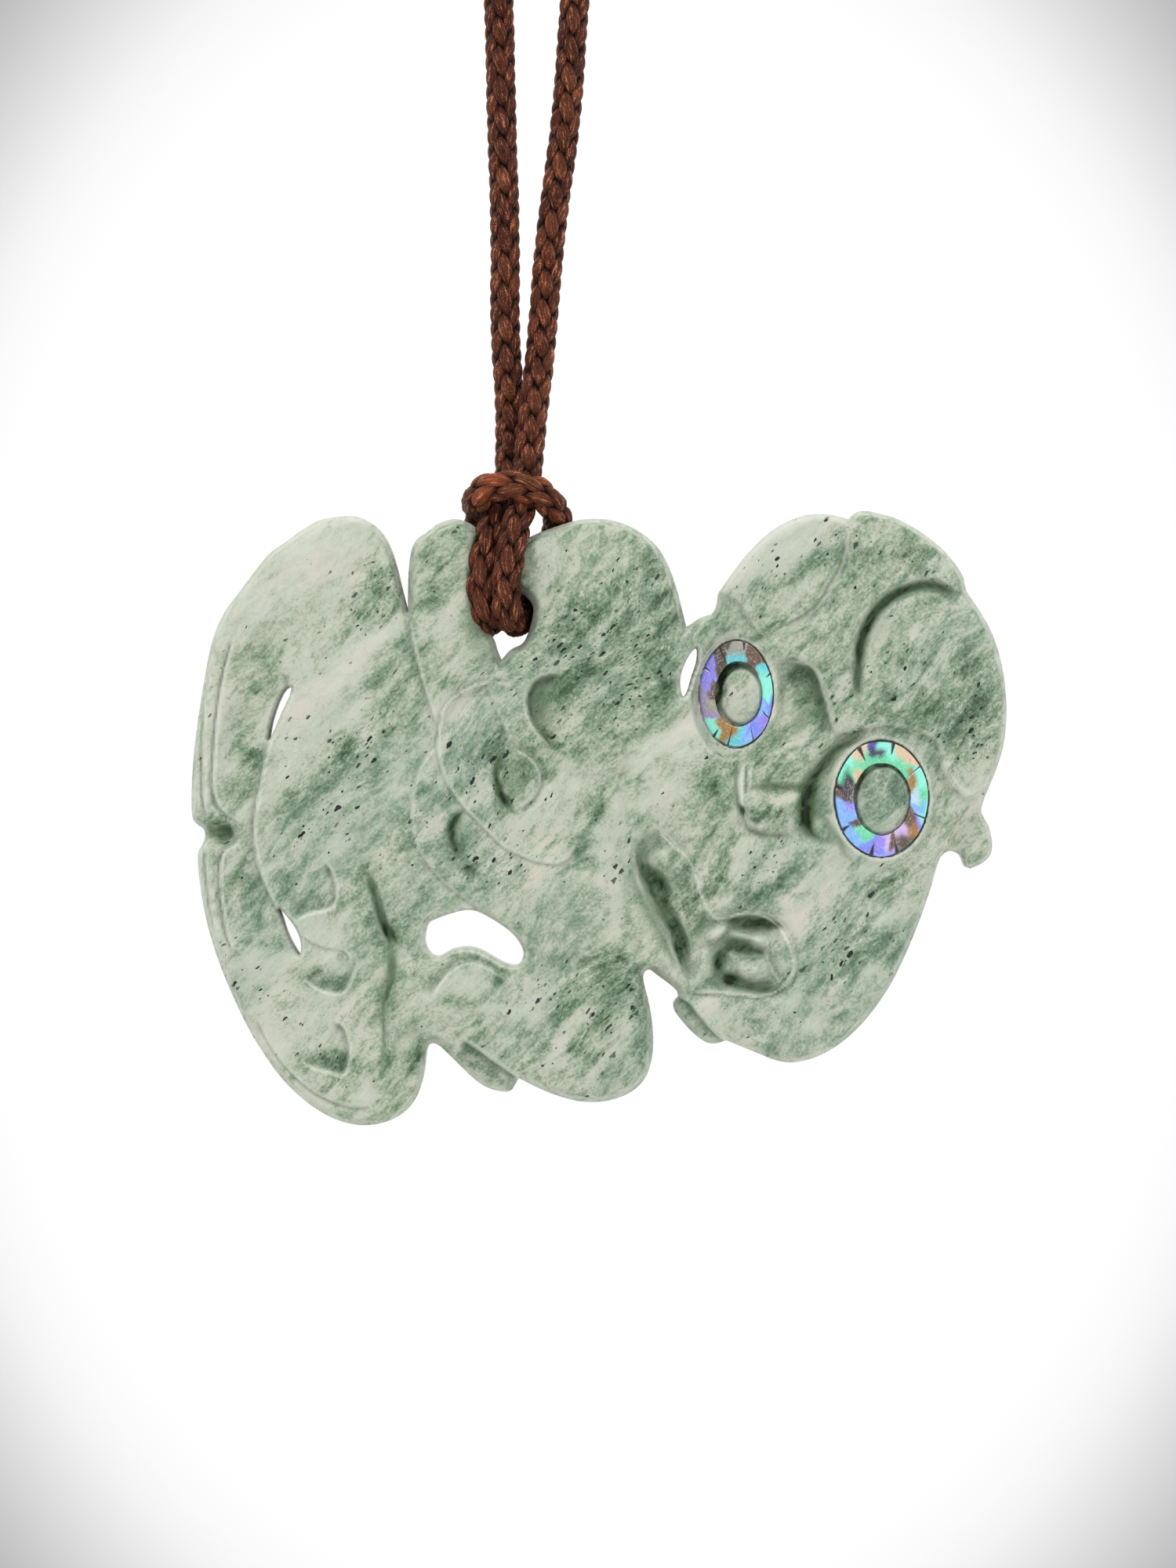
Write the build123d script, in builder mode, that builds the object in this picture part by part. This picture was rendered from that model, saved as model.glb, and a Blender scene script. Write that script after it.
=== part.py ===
# Greenstone hei tiki pendant on a braided neck cord.
# Millimetres, +Z up, the carved face looks along -Y.
# The origin is the underside of the cord at the top of its loop, where it hangs.
import os
from math import cos, pi, radians, sin, tan

from build123d import *

os.makedirs("parts", exist_ok=True)

# Pendant
pendant_width = 64.6
pendant_height = 48.9
pendant_depth = 9.2
back_share = 0.94

# Where the cord holds the stone, and the same spot in shares of the pendant
hold_x = -6.1
hold_z = -275.4
hold_across = 0.3824
hold_up = 0.9

# Cord
cord_diameter = 2.4
corner_share = 0.45

# Bar of stone that the cord is hitched round, its ends in shares of the width
bar_height = 5.2
bar_depth = 4.4
bar_ends = (0.325, 0.436)
bar_rounding = 2.19

# Eye inlays
inlay_thickness = 1.0
inlay_clearance = 0.06
seat_rim = 0.35
seat_depth = 3.0
notch_count = 10
notch_width = 0.26
notch_reach = 0.8

# Bound join of the cord's two ends
join_length = 12.0
join_wall = 1.0
join_clearance = 0.1
join_edge = 0.6

half_depth = pendant_depth / 2
cord_radius = cord_diameter / 2
pendant_left = hold_x - hold_across * pendant_width
pendant_bottom = hold_z - hold_up * pendant_height


def place(across, up):
    """Return the point on the pendant's face at shares of its width and height."""
    return (pendant_left + across * pendant_width, pendant_bottom + up * pendant_height)


def closed_outline(shares):
    """Return the face inside a smooth closed curve through points given as shares."""
    with BuildSketch() as outline:
        with BuildLine():
            Spline(*[place(across, up) for across, up in shares], periodic=True)
        make_face()
    return outline.sketch


def pillow(shares, front, edge):
    """Return a carved mass with rounded front and back edges; front is a share of half the depth."""
    back = back_share * half_depth
    with BuildPart() as mass:
        with BuildSketch(Plane.XZ.offset(-back)):
            add(closed_outline(shares))
        extrude(amount=back + front * half_depth)
        front_face = mass.faces().sort_by(Axis.Y)[0]
        back_face = mass.faces().sort_by(Axis.Y)[-1]
        fillet(front_face.edges() + back_face.edges(), edge * half_depth)
    return mass.part


def raised(shares, front, edge):
    """Return a low relief mass that grows out of the middle of the stone."""
    with BuildPart() as mass:
        with BuildSketch(Plane.XZ):
            add(closed_outline(shares))
        extrude(amount=front * half_depth)
        fillet(mass.faces().sort_by(Axis.Y)[0].edges(), edge * half_depth)
    return mass.part


def sunk(shares, floor):
    """Return the block that cuts a hollow from the front down to its floor."""
    with BuildPart() as block:
        with BuildSketch(Plane.XZ.offset(floor * half_depth)):
            add(closed_outline(shares))
        extrude(amount=half_depth)
    return block.part


def sunk_line(shares, floor, width):
    """Return the block that cuts a groove of one width along a smooth line."""
    with BuildPart() as block:
        with BuildSketch(Plane.XZ.offset(floor * half_depth)):
            with BuildLine():
                Spline(*[place(across, up) for across, up in shares])
            trace(line_width=width)
        extrude(amount=half_depth)
    return block.part


def pierced(shares):
    """Return the block that cuts a gap right through."""
    with BuildPart() as block:
        with BuildSketch(Plane.XZ):
            add(closed_outline(shares))
        extrude(amount=pendant_depth, both=True)
    return block.part


def route(points):
    """Return a path of straight runs joined by tangent arcs, and print its radii."""
    corners = [Vector(*point) for point in points]
    runs = [after - before for before, after in zip(corners, corners[1:])]
    radii = []
    for first, second in zip(runs, runs[1:]):
        half_turn = radians(first.get_angle(second)) / 2
        radii.append(corner_share * min(first.length, second.length) / tan(half_turn))
    print("radii", [round(radius, 1) for radius in radii])
    return FilletPolyline(*corners, radius=radii)


# Masses of the carving: outline in shares of the width and height, front and edge
# in shares of half the depth
masses = {
    "upper_leg": dict(front=0.78, edge=0.42, outline=[
        (0.195, 0.994), (0.234, 0.963), (0.253, 0.895), (0.268, 0.810), (0.305, 0.720),
        (0.320, 0.620), (0.310, 0.506), (0.255, 0.415), (0.166, 0.408), (0.094, 0.440),
        (0.045, 0.470), (0.008, 0.508), (0.001, 0.595), (0.007, 0.697), (0.036, 0.831),
        (0.084, 0.921), (0.142, 0.976)]),
    "lower_leg": dict(front=0.80, edge=0.42, outline=[
        (0.005, 0.440), (0.030, 0.478), (0.079, 0.490), (0.166, 0.445), (0.234, 0.410),
        (0.268, 0.301), (0.290, 0.186), (0.285, 0.084), (0.263, 0.031), (0.213, 0.001),
        (0.166, 0.014), (0.118, 0.061), (0.068, 0.155), (0.026, 0.261), (0.009, 0.359)]),
    "forearm": dict(front=0.88, edge=0.40, outline=[
        (0.263, 0.851), (0.268, 0.937), (0.297, 0.978), (0.333, 0.983), (0.358, 0.950),
        (0.369, 0.880), (0.377, 0.755), (0.389, 0.685), (0.365, 0.621), (0.316, 0.627),
        (0.280, 0.700), (0.266, 0.780)]),
    "upper_arm": dict(front=0.96, edge=0.46, outline=[
        (0.410, 0.895), (0.416, 0.950), (0.442, 0.977), (0.490, 0.990), (0.539, 0.981),
        (0.577, 0.940), (0.598, 0.886), (0.609, 0.812), (0.612, 0.710), (0.590, 0.608),
        (0.534, 0.550), (0.456, 0.582), (0.408, 0.646), (0.391, 0.710), (0.402, 0.787),
        (0.415, 0.838)]),
    "torso": dict(front=0.72, edge=0.42, outline=[
        (0.302, 0.685), (0.379, 0.748), (0.476, 0.761), (0.592, 0.736), (0.631, 0.608),
        (0.611, 0.480), (0.592, 0.380), (0.572, 0.305), (0.548, 0.262), (0.524, 0.200),
        (0.427, 0.174), (0.302, 0.186), (0.244, 0.263), (0.224, 0.391), (0.244, 0.531)]),
    "lower_arm": dict(front=0.92, edge=0.46, outline=[
        (0.238, 0.215), (0.254, 0.262), (0.292, 0.283), (0.340, 0.294), (0.398, 0.272),
        (0.456, 0.280), (0.512, 0.290), (0.548, 0.253), (0.565, 0.174), (0.560, 0.105),
        (0.535, 0.055), (0.490, 0.040), (0.442, 0.050), (0.394, 0.082), (0.340, 0.110),
        (0.290, 0.135), (0.250, 0.165)]),
    "head": dict(front=0.78, edge=0.42, outline=[
        (0.600, 0.750), (0.618, 0.810), (0.655, 0.860), (0.700, 0.925), (0.760, 0.960),
        (0.830, 0.960), (0.900, 0.900), (0.950, 0.800), (0.975, 0.700), (0.977, 0.600),
        (0.962, 0.520), (0.935, 0.450), (0.914, 0.400), (0.890, 0.315), (0.843, 0.212),
        (0.785, 0.130), (0.727, 0.105), (0.672, 0.125), (0.620, 0.165), (0.590, 0.208),
        (0.563, 0.255), (0.548, 0.335), (0.545, 0.442), (0.545, 0.557), (0.570, 0.665)]),
    "brow": dict(front=0.88, edge=0.30, outline=[
        (0.645, 0.860), (0.656, 0.905), (0.680, 0.948), (0.718, 0.982), (0.765, 0.995),
        (0.805, 0.970), (0.815, 0.910), (0.790, 0.845), (0.742, 0.800), (0.695, 0.790),
        (0.658, 0.812)]),
    "crown": dict(front=1.00, edge=0.24, outline=[
        (0.800, 0.960), (0.830, 0.999), (0.882, 0.973), (0.930, 0.914), (0.967, 0.831),
        (0.993, 0.742), (0.999, 0.653), (0.990, 0.590), (0.958, 0.562), (0.918, 0.597),
        (0.870, 0.650), (0.810, 0.660), (0.775, 0.705), (0.747, 0.752), (0.750, 0.803),
        (0.780, 0.850), (0.795, 0.905)]),
    "ear": dict(front=0.55, edge=0.13, outline=[
        (0.930, 0.520), (0.966, 0.520), (0.977, 0.487), (0.984, 0.455), (0.975, 0.427),
        (0.956, 0.422), (0.943, 0.445), (0.922, 0.480)]),
    "jaw_tab": dict(front=0.50, edge=0.12, outline=[
        (0.590, 0.200), (0.602, 0.222), (0.628, 0.210), (0.650, 0.176), (0.650, 0.147),
        (0.629, 0.139), (0.607, 0.162)]),
    "elbow_tab": dict(front=0.50, edge=0.12, outline=[
        (0.348, 0.116), (0.343, 0.086), (0.361, 0.067), (0.382, 0.057), (0.397, 0.066),
        (0.400, 0.090), (0.378, 0.113)]),
}

# Low relief on the front
reliefs = {
    "chest_ring": dict(front=0.80, edge=0.10, outline=[
        (0.302, 0.615), (0.272, 0.550), (0.270, 0.490), (0.285, 0.430), (0.330, 0.375),
        (0.390, 0.345), (0.440, 0.400), (0.470, 0.500), (0.440, 0.600), (0.360, 0.650)]),
    "hand": dict(front=0.93, edge=0.12, outline=[
        (0.350, 0.725), (0.315, 0.695), (0.302, 0.640), (0.303, 0.590), (0.320, 0.540),
        (0.345, 0.500), (0.380, 0.455), (0.430, 0.432), (0.470, 0.450), (0.490, 0.520),
        (0.490, 0.600), (0.440, 0.680), (0.400, 0.715)]),
    "cheek": dict(front=0.92, edge=0.30, outline=[
        (0.524, 0.608), (0.563, 0.653), (0.631, 0.640), (0.674, 0.582), (0.660, 0.506),
        (0.602, 0.467), (0.558, 0.480), (0.525, 0.544)]),
    "nose": dict(front=0.98, edge=0.16, outline=[
        (0.669, 0.600), (0.689, 0.605), (0.727, 0.570), (0.756, 0.550), (0.758, 0.493),
        (0.727, 0.478), (0.679, 0.487), (0.664, 0.544)]),
    "lip": dict(front=0.92, edge=0.10, outline=[
        (0.608, 0.468), (0.650, 0.445), (0.700, 0.400), (0.755, 0.330), (0.775, 0.250),
        (0.745, 0.185), (0.690, 0.168), (0.635, 0.195), (0.605, 0.250), (0.592, 0.340),
        (0.585, 0.420)]),
    "knee": dict(front=0.90, edge=0.14, outline=[
        (0.110, 0.440), (0.162, 0.434), (0.176, 0.395), (0.172, 0.355), (0.140, 0.348),
        (0.115, 0.370), (0.100, 0.405)]),
}

# Grooves: centre line in shares, width in mm, floor as a share of half the depth
grooves = {
    "crown_groove": dict(width=0.7, floor=0.70, line=[
        (0.940, 0.872), (0.905, 0.878), (0.882, 0.873), (0.853, 0.853), (0.829, 0.812),
        (0.819, 0.761), (0.814, 0.697)]),
    "leg_crease": dict(width=0.6, floor=0.52, line=[
        (0.215, 0.406), (0.229, 0.346), (0.246, 0.289), (0.243, 0.250), (0.237, 0.174),
        (0.238, 0.110)]),
    "socket_groove": dict(width=0.9, floor=0.55, line=[
        (0.786, 0.608), (0.765, 0.572), (0.755, 0.543), (0.750, 0.508), (0.760, 0.475)]),
    "mouth_groove": dict(width=1.3, floor=0.38, line=[
        (0.572, 0.475), (0.564, 0.430), (0.572, 0.370), (0.590, 0.310), (0.608, 0.245)]),
    "outer_rib": dict(width=0.3, floor=0.30, line=[
        (0.013, 0.720), (0.010, 0.620), (0.014, 0.520)]),
    "inner_rib": dict(width=0.3, floor=0.50, line=[
        (0.030, 0.720), (0.026, 0.620), (0.032, 0.520)]),
    "outer_rib_low": dict(width=0.3, floor=0.30, line=[
        (0.014, 0.440), (0.018, 0.370), (0.030, 0.300)]),
    "inner_rib_low": dict(width=0.3, floor=0.50, line=[
        (0.030, 0.440), (0.035, 0.370), (0.047, 0.300)]),
}

# Hollows sunk in the front: outline in shares, floor as a share of half the depth
hollows = {
    "shin_hollow": dict(floor=0.62, outline=[
        (0.055, 0.740), (0.078, 0.735), (0.092, 0.690), (0.092, 0.625), (0.075, 0.595),
        (0.056, 0.620), (0.048, 0.680)]),
    "shoulder_hollow": dict(floor=0.66, outline=[
        (0.429, 0.736), (0.449, 0.727), (0.439, 0.704), (0.434, 0.678), (0.438, 0.648),
        (0.422, 0.650), (0.411, 0.678), (0.414, 0.710)]),
    "palm_hollow": dict(floor=0.64, outline=[
        (0.388, 0.616), (0.396, 0.601), (0.389, 0.570), (0.391, 0.544), (0.400, 0.517),
        (0.389, 0.510), (0.378, 0.531), (0.373, 0.560), (0.377, 0.592)]),
    "thumb_hollow": dict(floor=0.60, outline=[
        (0.331, 0.508), (0.339, 0.499), (0.331, 0.474), (0.334, 0.447), (0.325, 0.440),
        (0.317, 0.461), (0.320, 0.490)]),
    "foot_hollow": dict(floor=0.60, outline=[
        (0.140, 0.250), (0.168, 0.262), (0.192, 0.272), (0.195, 0.235), (0.180, 0.216),
        (0.154, 0.224)]),
    "heel_hollow": dict(floor=0.60, outline=[
        (0.131, 0.122), (0.158, 0.150), (0.188, 0.162), (0.192, 0.115), (0.175, 0.090),
        (0.149, 0.098)]),
    "socket_hollow": dict(floor=0.60, outline=[
        (0.718, 0.745), (0.745, 0.757), (0.765, 0.727), (0.776, 0.690), (0.770, 0.655),
        (0.745, 0.645), (0.722, 0.670), (0.712, 0.710)]),
    "mouth": dict(floor=0.76, outline=[
        (0.618, 0.385), (0.640, 0.350), (0.680, 0.357), (0.716, 0.347), (0.738, 0.310),
        (0.741, 0.250), (0.716, 0.213), (0.660, 0.215), (0.620, 0.228), (0.605, 0.290),
        (0.605, 0.350)]),
    "mouth_corner": dict(floor=0.46, outline=[
        (0.672, 0.343), (0.695, 0.350), (0.722, 0.340), (0.730, 0.322), (0.708, 0.318),
        (0.684, 0.326)]),
    "under_tongue": dict(floor=0.46, outline=[
        (0.652, 0.242), (0.668, 0.252), (0.690, 0.255), (0.712, 0.251), (0.722, 0.241),
        (0.712, 0.231), (0.690, 0.227), (0.668, 0.231)]),
    "over_tongue": dict(floor=0.52, outline=[
        (0.652, 0.298), (0.680, 0.304), (0.706, 0.295), (0.696, 0.281), (0.664, 0.279)]),
}

# Gaps that go right through
gaps = {
    "shin_slit": [(0.124, 0.715), (0.110, 0.690), (0.098, 0.640), (0.094, 0.622),
                  (0.106, 0.645), (0.118, 0.680)],
    "calf_slit": [(0.103, 0.354), (0.111, 0.330), (0.128, 0.285), (0.134, 0.283),
                  (0.128, 0.315), (0.113, 0.345)],
    "elbow_gap": [(0.288, 0.325), (0.305, 0.345), (0.330, 0.352), (0.362, 0.345),
                  (0.390, 0.320), (0.408, 0.285), (0.398, 0.264), (0.370, 0.279),
                  (0.338, 0.291), (0.312, 0.284), (0.292, 0.280), (0.285, 0.305)],
    "neck_sliver": [(0.619, 0.774), (0.625, 0.771), (0.614, 0.720), (0.604, 0.700),
                    (0.600, 0.725), (0.608, 0.755)],
    "base_notch": [(-0.010, 0.490), (0.006, 0.489), (0.019, 0.476), (0.006, 0.461),
                   (-0.010, 0.460)],
}

# Way for the cord beside the bar, open at the top
cord_way = [
    (0.333, 1.010), (0.419, 1.010), (0.421, 0.930), (0.420, 0.870), (0.424, 0.830),
    (0.414, 0.787), (0.379, 0.758), (0.373, 0.780), (0.345, 0.788), (0.331, 0.820),
    (0.333, 0.910)]

# Eyes: centre and axes in shares, seat height as a share of half the depth,
# turn of the seat towards -X in degrees
eyes = {
    "eye_ring_upper": dict(across=0.667, up=0.704, wide=0.098, high=0.178, pupil=0.57,
                           front=0.68, turn=20),
    "eye_ring_lower": dict(across=0.846, up=0.534, wide=0.113, high=0.190, pupil=0.61,
                           front=0.90, turn=0),
}

# Cord routes, chosen point by point
left_hitch_route = [
    (-6.25, -0.7, -267.3), (-6.33, -0.86, -269.82), (-7.8, -3.5, -273.4),
    (-7.75, -3.55, -279.3), (-7.4, 3.6, -279.3), (-8.1, 5.7, -274.2),
    (-8.8, 3.6, -269.0), (-8.8, -3.5, -269.2), (-5.4, -3.5, -269.5)]
right_hitch_route = [
    (-3.75, -0.5, -267.3), (-3.9, -0.625, -269.675), (-5.3, -3.6, -273.7),
    (-5.25, -3.55, -279.3), (-4.9, 3.6, -279.3), (-4.3, 5.9, -274.6),
    (-1.8, 4.4, -269.2), (-1.8, -3.5, -269.9), (-5.4, -3.5, -269.5)]
loop_route = [
    (-6.25, -0.7, -267.3), (-6.05, -0.3, -261.0), (-6.0, 0.0, -248.5), (-6.35, 0.0, -239.0),
    (-6.5, 0.0, -229.7), (-7.5, 0.0, -213.0), (-9.8, 0.0, -184.0), (-13.9, 0.0, -138.0),
    (-18.4, 0.0, -92.0), (-21.6, 0.0, -56.0), (-22.6, 0.0, -34.0), (-22.2, 0.0, -20.3),
    (-18.2, 0.0, -7.0), (-7.0, 0.0, 1.2), (7.0, 0.0, 1.2), (18.2, 0.0, -7.0),
    (22.2, 0.0, -20.3), (22.0, 0.0, -34.0), (19.4, 0.0, -58.0), (14.5, 0.0, -98.0),
    (9.3, 0.0, -142.0), (4.6, 0.0, -184.0), (1.3, 0.0, -213.0), (-0.55, 0.0, -229.7),
    (-1.1, 0.0, -239.0), (-2.5, 0.0, -248.5), (-3.15, 0.0, -257.8), (-3.75, -0.5, -267.3)]
join_run = (18, 19)


def ring_face(eye, clearance):
    """Return the flat ring of an eye inlay, grown by a clearance on both sides."""
    semi_wide = eye["wide"] * pendant_width / 2
    semi_high = eye["high"] * pendant_height / 2
    with BuildSketch() as ring:
        Ellipse(semi_wide + clearance, semi_high + clearance)
        Ellipse(semi_wide * eye["pupil"] - clearance, semi_high * eye["pupil"] - clearance,
                mode=Mode.SUBTRACT)
    return ring.sketch


def eye_plane(eye):
    """Return the plane of an eye's seat, facing out of the stone."""
    x, z = place(eye["across"], eye["up"])
    turn = radians(eye["turn"])
    return Plane(origin=(x, -eye["front"] * half_depth, z), x_dir=(cos(turn), -sin(turn), 0),
                 z_dir=(-sin(turn), -cos(turn), 0))


def seat_face(eye, rim):
    """Return the full oval under an eye inlay with a rim round it."""
    with BuildSketch() as seat:
        Ellipse(eye["wide"] * pendant_width / 2 + rim, eye["high"] * pendant_height / 2 + rim)
    return seat.sketch


# Stone
body_masses = [pillow(mass["outline"], mass["front"], mass["edge"]) for mass in masses.values()]
body_reliefs = [raised(mass["outline"], mass["front"], mass["edge"])
                for mass in reliefs.values()]
stone_cutters = [sunk(hollow["outline"], hollow["floor"]) for hollow in hollows.values()]
stone_cutters += [sunk_line(groove["line"], groove["floor"], groove["width"])
                  for groove in grooves.values()]
stone_cutters += [pierced(gap) for gap in gaps.values()]

with BuildPart() as tiki_body:
    add(body_masses)
    add(body_reliefs)
    for eye in eyes.values():
        with BuildSketch(eye_plane(eye)):
            add(seat_face(eye, seat_rim))
        extrude(amount=-seat_depth)
        with BuildSketch(eye_plane(eye)):
            add(seat_face(eye, inlay_clearance))
        extrude(amount=half_depth, mode=Mode.SUBTRACT)
        with BuildSketch(eye_plane(eye)):
            add(ring_face(eye, inlay_clearance))
        extrude(amount=-inlay_thickness - inlay_clearance, mode=Mode.SUBTRACT)
    add(stone_cutters, mode=Mode.SUBTRACT)
    with BuildSketch(Plane.XZ):
        with BuildLine():
            Polyline(*[place(across, up) for across, up in cord_way], close=True)
        make_face()
    extrude(amount=pendant_depth, both=True, mode=Mode.SUBTRACT)
    with BuildSketch(Plane.YZ.offset(place(bar_ends[0], 0)[0])):
        with Locations((0, hold_z)):
            RectangleRounded(bar_depth, bar_height, bar_rounding)
    extrude(amount=(bar_ends[1] - bar_ends[0]) * pendant_width)
tiki_body.part.label = "tiki_body"
export_step(tiki_body.part, "parts/tiki_body.step")

# Shell inlays round the pupils, nicked along their outer edge
for name, eye in eyes.items():
    reach_wide = eye["wide"] * pendant_width / 2
    reach_high = eye["high"] * pendant_height / 2
    with BuildPart() as eye_ring:
        with BuildSketch(eye_plane(eye)):
            add(ring_face(eye, 0))
            for notch in range(notch_count):
                angle = radians(360 * (notch + 0.5) / notch_count)
                spot = Vector(reach_wide * cos(angle), reach_high * sin(angle))
                with Locations(Location(spot, Vector(1, 0).get_signed_angle(spot))):
                    Rectangle(notch_reach, notch_width, mode=Mode.SUBTRACT)
        extrude(amount=-inlay_thickness)
    eye_ring.part.label = name
    export_step(eye_ring.part, f"parts/{name}.step")

# Hitch round the bar: each half is a tube, and they join in the middle of the bight
hitch_halves = []
for points in (left_hitch_route, right_hitch_route):
    with BuildPart() as hitch_half:
        with BuildLine() as hitch_path:
            route(points)
        with BuildSketch(Plane(origin=hitch_path.line @ 0, z_dir=hitch_path.line % 0)):
            Circle(cord_radius)
        sweep(path=hitch_path.line)
    hitch_halves.append(hitch_half.part)
    print("hitch half", hitch_half.part.volume,
          hitch_path.wire().length * pi * cord_radius ** 2)

with BuildPart() as hitch:
    add(hitch_halves)
hitch.part.label = "hitch"
export_step(hitch.part, "parts/hitch.step")

# Neck loop
with BuildPart() as neck_cord:
    with BuildLine() as loop_path:
        route(loop_route)
    with BuildSketch(Plane(origin=loop_path.line @ 0, z_dir=loop_path.line % 0)):
        Circle(cord_radius)
    sweep(path=loop_path.line)
neck_cord.part.label = "neck_cord"
export_step(neck_cord.part, "parts/neck_cord.step")
print("neck cord", neck_cord.part.volume, loop_path.wire().length,
      loop_path.wire().length * pi * cord_radius ** 2)

# Bound join over the cord's two ends
run_start = Vector(*loop_route[join_run[0]])
run_end = Vector(*loop_route[join_run[1]])
run_way = (run_end - run_start).normalized()
join_centre = (run_start + run_end) * 0.5
with BuildPart() as cord_join:
    with BuildSketch(Plane(origin=join_centre - run_way * (join_length / 2), z_dir=run_way)):
        Circle(cord_radius + join_clearance + join_wall)
    extrude(amount=join_length)
    fillet(cord_join.edges().filter_by(GeomType.CIRCLE), join_edge)
    with BuildSketch(Plane(origin=join_centre - run_way * (join_length / 2), z_dir=run_way)):
        Circle(cord_radius + join_clearance)
    extrude(amount=join_length, mode=Mode.SUBTRACT)
cord_join.part.label = "cord_join"
export_step(cord_join.part, "parts/cord_join.step")

for piece in (tiki_body, hitch, neck_cord, cord_join):
    print(piece.part.label, len(piece.solids()), round(piece.part.volume, 1),
          piece.part.bounding_box())
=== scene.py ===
# Greenstone hei tiki pendant on a braided neck cord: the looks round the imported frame.
# Metres in the scene; the carving is worked out in millimetres and scaled once at the end.
import math

import bpy
import numpy as np
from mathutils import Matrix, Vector


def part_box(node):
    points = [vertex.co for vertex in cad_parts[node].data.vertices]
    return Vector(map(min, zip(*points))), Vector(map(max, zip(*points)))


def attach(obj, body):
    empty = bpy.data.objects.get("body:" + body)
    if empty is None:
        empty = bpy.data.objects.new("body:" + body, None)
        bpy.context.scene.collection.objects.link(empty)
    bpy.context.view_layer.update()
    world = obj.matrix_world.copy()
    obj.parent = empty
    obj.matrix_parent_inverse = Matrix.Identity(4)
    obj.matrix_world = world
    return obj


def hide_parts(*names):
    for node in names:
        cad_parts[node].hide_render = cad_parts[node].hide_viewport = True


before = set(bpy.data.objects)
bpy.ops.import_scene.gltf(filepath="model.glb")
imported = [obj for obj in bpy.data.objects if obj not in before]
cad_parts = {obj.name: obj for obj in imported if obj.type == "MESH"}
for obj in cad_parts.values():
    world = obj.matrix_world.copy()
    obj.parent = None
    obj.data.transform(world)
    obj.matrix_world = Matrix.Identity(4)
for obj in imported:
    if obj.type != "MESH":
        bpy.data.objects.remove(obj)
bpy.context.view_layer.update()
stoneLow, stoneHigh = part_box("tiki_body")
mm = 0.001

# The reference picture is 1500 x 2000 pixels, 16 of them to a millimetre of the stone
reference = dict(pixelsPerMm=16.0, plumbColumn=741.0, plumbRow=1045.0, plumbHeight=-295.0)


# Places in the picture, in pixels, as millimetres across and up in the scene
def fromPicture(pixels):
    p = np.atleast_2d(np.asarray(pixels, float))
    across = (p[:, 0] - reference["plumbColumn"]) / reference["pixelsPerMm"]
    up = (reference["plumbRow"] - p[:, 1]) / reference["pixelsPerMm"] + reference["plumbHeight"]
    return np.stack([across, up], axis=1)


def addObject(name, data):
    made = bpy.data.objects.new(name, data)
    bpy.context.scene.collection.objects.link(made)
    return made


# A value or a vector for each point of a mesh, which its material reads
def addAttribute(mesh, label, values):
    kind, slot = ("FLOAT_VECTOR", "vector") if values.ndim > 1 else ("FLOAT", "value")
    mesh.attributes.new(label, kind, "POINT").data.foreach_set(
        slot, np.ascontiguousarray(values, np.float32).ravel())


# ---- camera
cameraSetup = dict(distance=0.55, frameHeight=0.125, middleColumn=750.0, middleRow=1000.0)


def makeCamera():
    data = bpy.data.cameras.new("pendantCamera")
    data.lens = data.sensor_width * cameraSetup["distance"] / cameraSetup["frameHeight"]
    data.clip_start = 0.01
    camera = addObject("pendantCamera", data)
    across, up = fromPicture((cameraSetup["middleColumn"], cameraSetup["middleRow"]))[0] * mm
    camera.location = (across, -cameraSetup["distance"], up)
    camera.rotation_euler = (math.radians(90), 0, 0)
    bpy.context.scene.camera = camera


makeCamera()
print("camera set")

# ---- curves and distances


# A smooth line through the points of a chart (Catmull-Rom), closed or open
def smoothLine(points, closed=False, steps=6):
    p = np.asarray(points, float)
    if closed:
        before, after, after2 = np.roll(p, 1, 0), np.roll(p, -1, 0), np.roll(p, -2, 0)
    else:
        ext = np.vstack([2 * p[0] - p[1], p, 2 * p[-1] - p[-2]])
        before, p, after, after2 = ext[:-3], ext[1:-2], ext[2:-1], ext[3:]
    t = (np.arange(steps) / steps)[None, :, None]
    a, b, c, d = (q[:, None, :] for q in (before, p, after, after2))
    line = 0.5 * (2 * b + (c - a) * t + (2 * a - 5 * b + 4 * c - d) * t ** 2
                  + (3 * b - a - 3 * c + d) * t ** 3)
    line = line.reshape(-1, line.shape[-1])
    last = line[:1] if closed else ext[-2:-1]
    return np.vstack([line, last])


def smoothStep(value, low, high):
    t = np.clip((value - low) / (high - low), 0, 1)
    return t * t * (3 - 2 * t)


# Distance from each point to a line, which side it is on (left is positive, walking along it),
# how far along the nearest spot is, whether the closed line goes round it, and its length
def toLine(x, z, line):
    best = np.full(x.shape, 1e9)
    side = np.ones(x.shape)
    along = np.zeros(x.shape)
    inside = np.zeros(x.shape, bool)
    lengths = np.linalg.norm(np.diff(line, axis=0), axis=1)
    starts = np.concatenate([[0], np.cumsum(lengths)])
    for i, length in enumerate(lengths):
        if length < 1e-9:
            continue
        ax, az = line[i]
        dx, dz = (line[i + 1] - line[i]) / length
        t = np.clip((x - ax) * dx + (z - az) * dz, 0, length)
        ex, ez = x - ax - t * dx, z - az - t * dz
        d2 = ex * ex + ez * ez
        nearer = d2 < best
        best = np.where(nearer, d2, best)
        side = np.where(nearer, np.sign(dx * (z - az) - dz * (x - ax)), side)
        along = np.where(nearer, starts[i] + t, along)
        bz = line[i + 1][1]
        if az != bz:
            crossing = ((az > z) != (bz > z)) & (x < ax + (z - az) * dx / dz)
            inside ^= crossing
    return np.sqrt(best), side, along / starts[-1], inside, starts[-1]


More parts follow.
